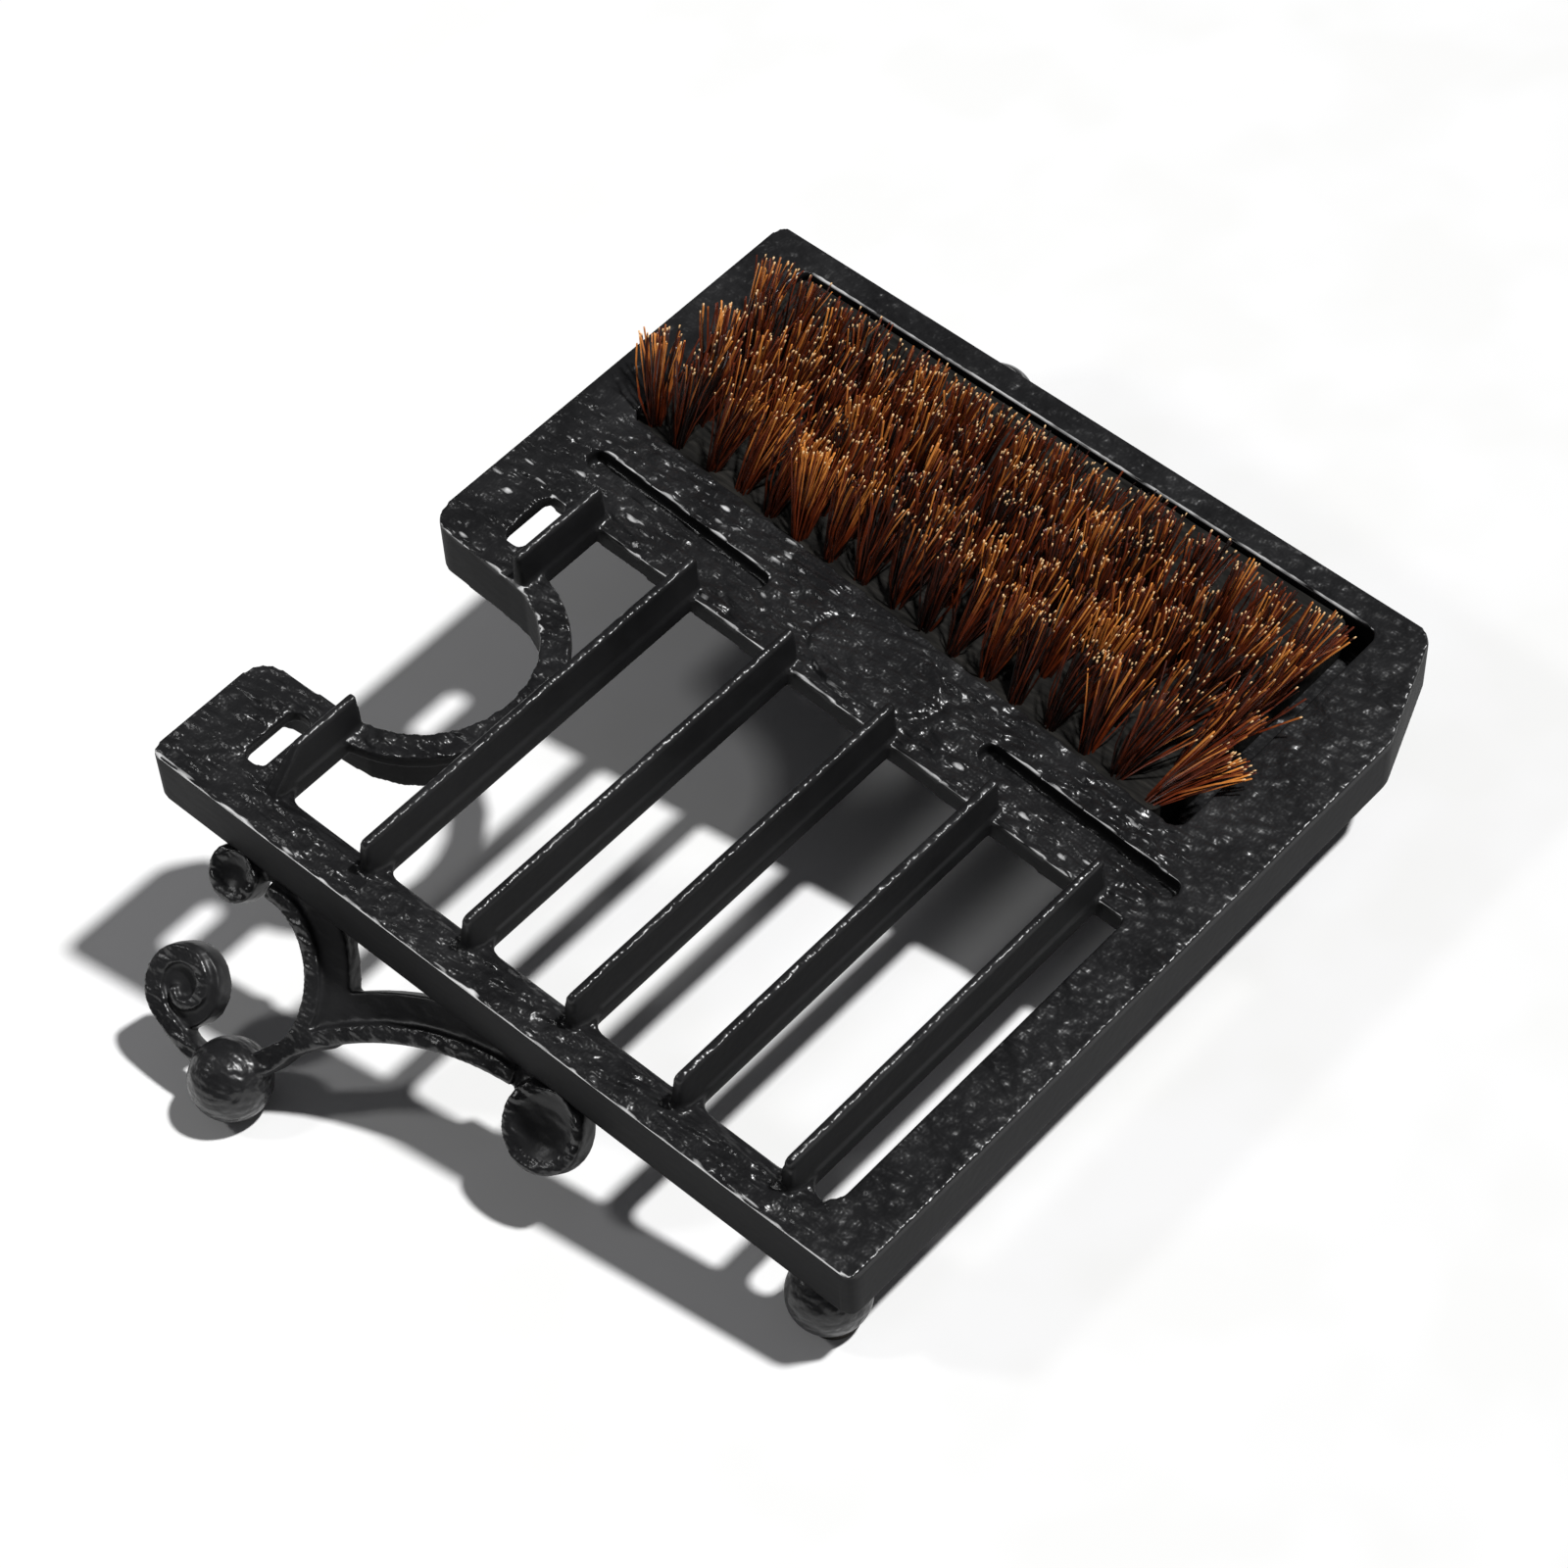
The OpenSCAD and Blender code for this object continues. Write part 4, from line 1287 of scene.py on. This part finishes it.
    def lay(self, draw: np.random.Generator, unit: np.ndarray, middles: np.ndarray,
            owner: np.ndarray) -> np.ndarray:
        """Bends a copy of the modelled strand for each fibre of a row.

        Args:
            draw: The row's random numbers.
            unit: The modelled strand's points.
            middles: The middles of the row's tufts in plan.
            owner: The number of each fibre's tuft.

        Returns:
            The points of every fibre, on the flat drawing.
        """
        tuft, count, share = self.tuft, len(owner), unit[:, 2]
        angle = draw.uniform(0, 2 * math.pi, count)
        reach = np.sqrt(draw.uniform(0, 1, count))
        spoke = np.stack([np.cos(angle), np.sin(angle)], axis=1) * reach[:, None]
        foot = middles[owner] + tuft.radius * spoke
        out, rise = self.tips(draw, foot, spoke, owner)
        radius = tuft.fibre_radius * (1 - (1 - tuft.tip_share) * share)
        wide = draw.uniform(*tuft.width_range, count)[:, None]
        turn = draw.uniform(0, math.pi / 2, count)[:, None]
        sway = tuft.sway * draw.normal(0, 1, (count, 2, 1)) * np.sin(math.pi * share)
        bend = share ** tuft.bend_power
        x = unit[:, 0] * np.cos(turn) - unit[:, 1] * np.sin(turn)
        y = unit[:, 0] * np.sin(turn) + unit[:, 1] * np.cos(turn)
        points = np.empty((count, len(unit), 3))
        points[:, :, 0] = foot[:, :1] + out[:, :1] * bend + sway[:, 0] + x * radius * wide
        points[:, :, 1] = foot[:, 1:] + out[:, 1:] * bend + sway[:, 1] + y * radius * wide
        points[:, :, 2] = self.top - self.layer / 2 + rise[:, None] * share
        return points

    def colour_fibres(self, piece: bpy.types.Object, draw: np.random.Generator, share: np.ndarray,
                      owner: np.ndarray) -> None:
        """Stores each fibre's shade, darkened at its foot as painted shade, and its painted end
        glint.

        Args:
            piece: The row's object.
            draw: The row's random numbers.
            share: The place along the strand of each of its points.
            owner: The number of each fibre's tuft.
        """
        tuft, count, tufts = self.tuft, len(owner), owner[-1] + 1
        shade = draw.beta(*tuft.dye, count) + draw.normal(0, tuft.tuft_dye, tufts)[owner]
        # Painted shade: a strand darkens towards its foot, where the tuft shades it.
        along = tuft.foot_shade + (1 - tuft.foot_shade) * share
        put_attribute(piece, "shade", np.outer(np.clip(shade, 0, 1), along).ravel())
        # Some cut ends get a painted glint, where light would catch them.
        glint = draw.uniform(0, 1, count) < tuft.glint_ends
        put_attribute(piece, "cut", np.outer(glint, share > tuft.end_share).astype(float).ravel())

    def row(self, row: int, strand: tuple[np.ndarray, list[list[int]]],
            finish: bpy.types.Material) -> None:
        """Lays the strands of one row as copies of the one that was modelled.

        Args:
            row: The row's number, from 1 at the front.
            strand: The modelled strand's points and faces.
            finish: The fibre.
        """
        draw = np.random.default_rng(self.seed + row)
        unit, faces = strand
        middles = self.middles(row)
        middles = middles + draw.normal(0, self.tuft.drift, middles.shape)
        fibres = draw.integers(*self.tuft.fibres, len(middles))
        owner = np.repeat(np.arange(len(middles)), fibres)
        points = self.lay(draw, unit, middles, owner)
        mesh = bpy.data.meshes.new(f"tufts_{row}")
        all_faces = [[corner + len(unit) * i for corner in face]
                     for i in range(len(owner)) for face in faces]
        mesh.from_pydata(points.reshape(-1, 3).tolist(), [], all_faces)
        piece = bpy.data.objects.new(f"tufts_{row}", mesh)
        bpy.context.scene.collection.objects.link(piece)
        self.colour_fibres(piece, draw, unit[:, 2], owner)
        mesh.transform(self.slope.matrix())
        pick(piece)
        bpy.ops.object.shade_smooth_by_angle(angle=self.tuft.smooth_under)
        dress(piece, finish, Slot.FIBRE, f"bristle_row_{row}")

    def build(self, wood: bpy.types.Material, fibre: bpy.types.Material) -> None:
        """Makes the block and every row.

        Args:
            wood: The block's wood.
            fibre: The strands' fibre.
        """
        self.block(wood)
        strand = self.strand()
        for row in range(1, self.rows + 1):
            self.row(row, strand, fibre)


@dataclass
class Studio:
    """The pale floor, the light and the camera, which stands where the photo was taken from."""

    floor_size: float = 60.0
    eye: tuple[float, float, float] = (0.7686, -0.6076, 1.0447)
    ahead: tuple[float, float, float] = (-0.5519, 0.4273, -0.7161)
    across: tuple[float, float, float] = (0.7266, 0.6678, -0.1615)
    lens_mm: float = 100.25
    sensor_mm: float = 36.0
    sees_to: float = 100.0
    aim: tuple[float, float, float] = (0, 0, 0.05)
    sun_from: tuple[float, float, float] = (0.42, 0.30, 0.86)
    sun_strength: float = 3.6
    sun_width: float = math.radians(4)
    sky: str = "#48484a"
    fill_at: tuple[float, float, float] = (-0.8, -0.7, 1.05)
    fill_power: float = 2.5
    fill_size: float = 0.16

    def floor(self) -> None:
        """Lays the floor, wide enough for its edge to stay out of low views."""
        deselect_all()
        bpy.ops.mesh.primitive_plane_add(size=self.floor_size)
        piece = bpy.context.object
        piece.name = "floor"
        piece.data.materials.append(PaleFloor().make())

    def lamp(self, name: str, kind: str, place: Vector, **settings: Any) -> None:
        """Adds a lamp that points at the part.

        Args:
            name: The lamp's name.
            kind: SUN or AREA.
            place: Where it stands.
            settings: The lamp's own properties.
        """
        data = bpy.data.lights.new(name, kind)
        for key, value in settings.items():
            setattr(data, key, value)
        lamp = bpy.data.objects.new(name, data)
        lamp.location = place
        lamp.rotation_euler = (Vector(self.aim) - place).to_track_quat("-Z", "Y").to_euler()
        bpy.context.scene.collection.objects.link(lamp)

    def lights(self) -> None:
        """Sets the sun, a small fill on the left that picks out the arrises, and a grey sky."""
        self.lamp("sun", "SUN", Vector(self.aim) + Vector(self.sun_from),
                  energy=self.sun_strength, angle=self.sun_width)
        self.lamp("fill", "AREA", Vector(self.fill_at), energy=self.fill_power, size=self.fill_size)
        world = bpy.data.worlds.new("studio_sky")
        world.use_nodes = True
        world.node_tree.nodes["Background"].inputs["Color"].default_value = colour(self.sky)
        bpy.context.scene.world = world

    def camera(self) -> None:
        """Sets the camera on the photo's viewpoint, with its roll."""
        forward = Vector(self.ahead).normalized()
        right = Vector(self.across)
        right = (right - right.dot(forward) * forward).normalized()
        up = right.cross(forward)
        data = bpy.data.cameras.new("photo_view")
        data.lens = self.lens_mm
        data.sensor_width = self.sensor_mm
        data.clip_end = self.sees_to
        eye = bpy.data.objects.new("photo_view", data)
        turn = Matrix((right, up, -forward)).transposed().to_4x4()
        eye.matrix_world = Matrix.Translation(self.eye) @ turn
        bpy.context.scene.collection.objects.link(eye)
        bpy.context.scene.camera = eye

    def build(self) -> None:
        """Sets up the floor, the light, the camera and plain colour handling."""
        self.floor()
        self.lights()
        self.camera()
        bpy.context.scene.view_settings.view_transform = "Standard"


def main() -> None:
    """Builds every piece of the scraper and the studio round it."""
    logging.basicConfig(level=logging.INFO, format="%(name)s: %(message)s")
    slope = Slope()
    iron = PaintedIron().make()
    oiled = Steel(name="oiled_black_steel", tint="#3a3a3c", tint_dull="#242426",
                  roughness=(0.3, 0.5)).make()
    zinc = Steel(name="zinc_plated_steel", tint="#a9acb0", tint_dull="#7d8085",
                 roughness=(0.25, 0.45)).make()
    Casting(slope).build(iron)
    ScrollLeg(slope, Side.FRONT, FRONT_SPLAY).build(iron)
    ScrollLeg(slope, Side.BACK, BACK_SPLAY).build(iron)
    BallFeet().build(iron, Rubber().make())
    fixings = Fixings(slope)
    for node in ("front_leg_screws", "back_leg_screws", "foot_screws", "brush_screws"):
        fixings.screws(node, oiled)
    for node in ("leg_washers", "brush_washers"):
        fixings.washers(node, zinc)
    Brush(slope).build(GreyWood().make(), PlantFibre().make())
    Studio().build()


if __name__ == "__main__":
    main()
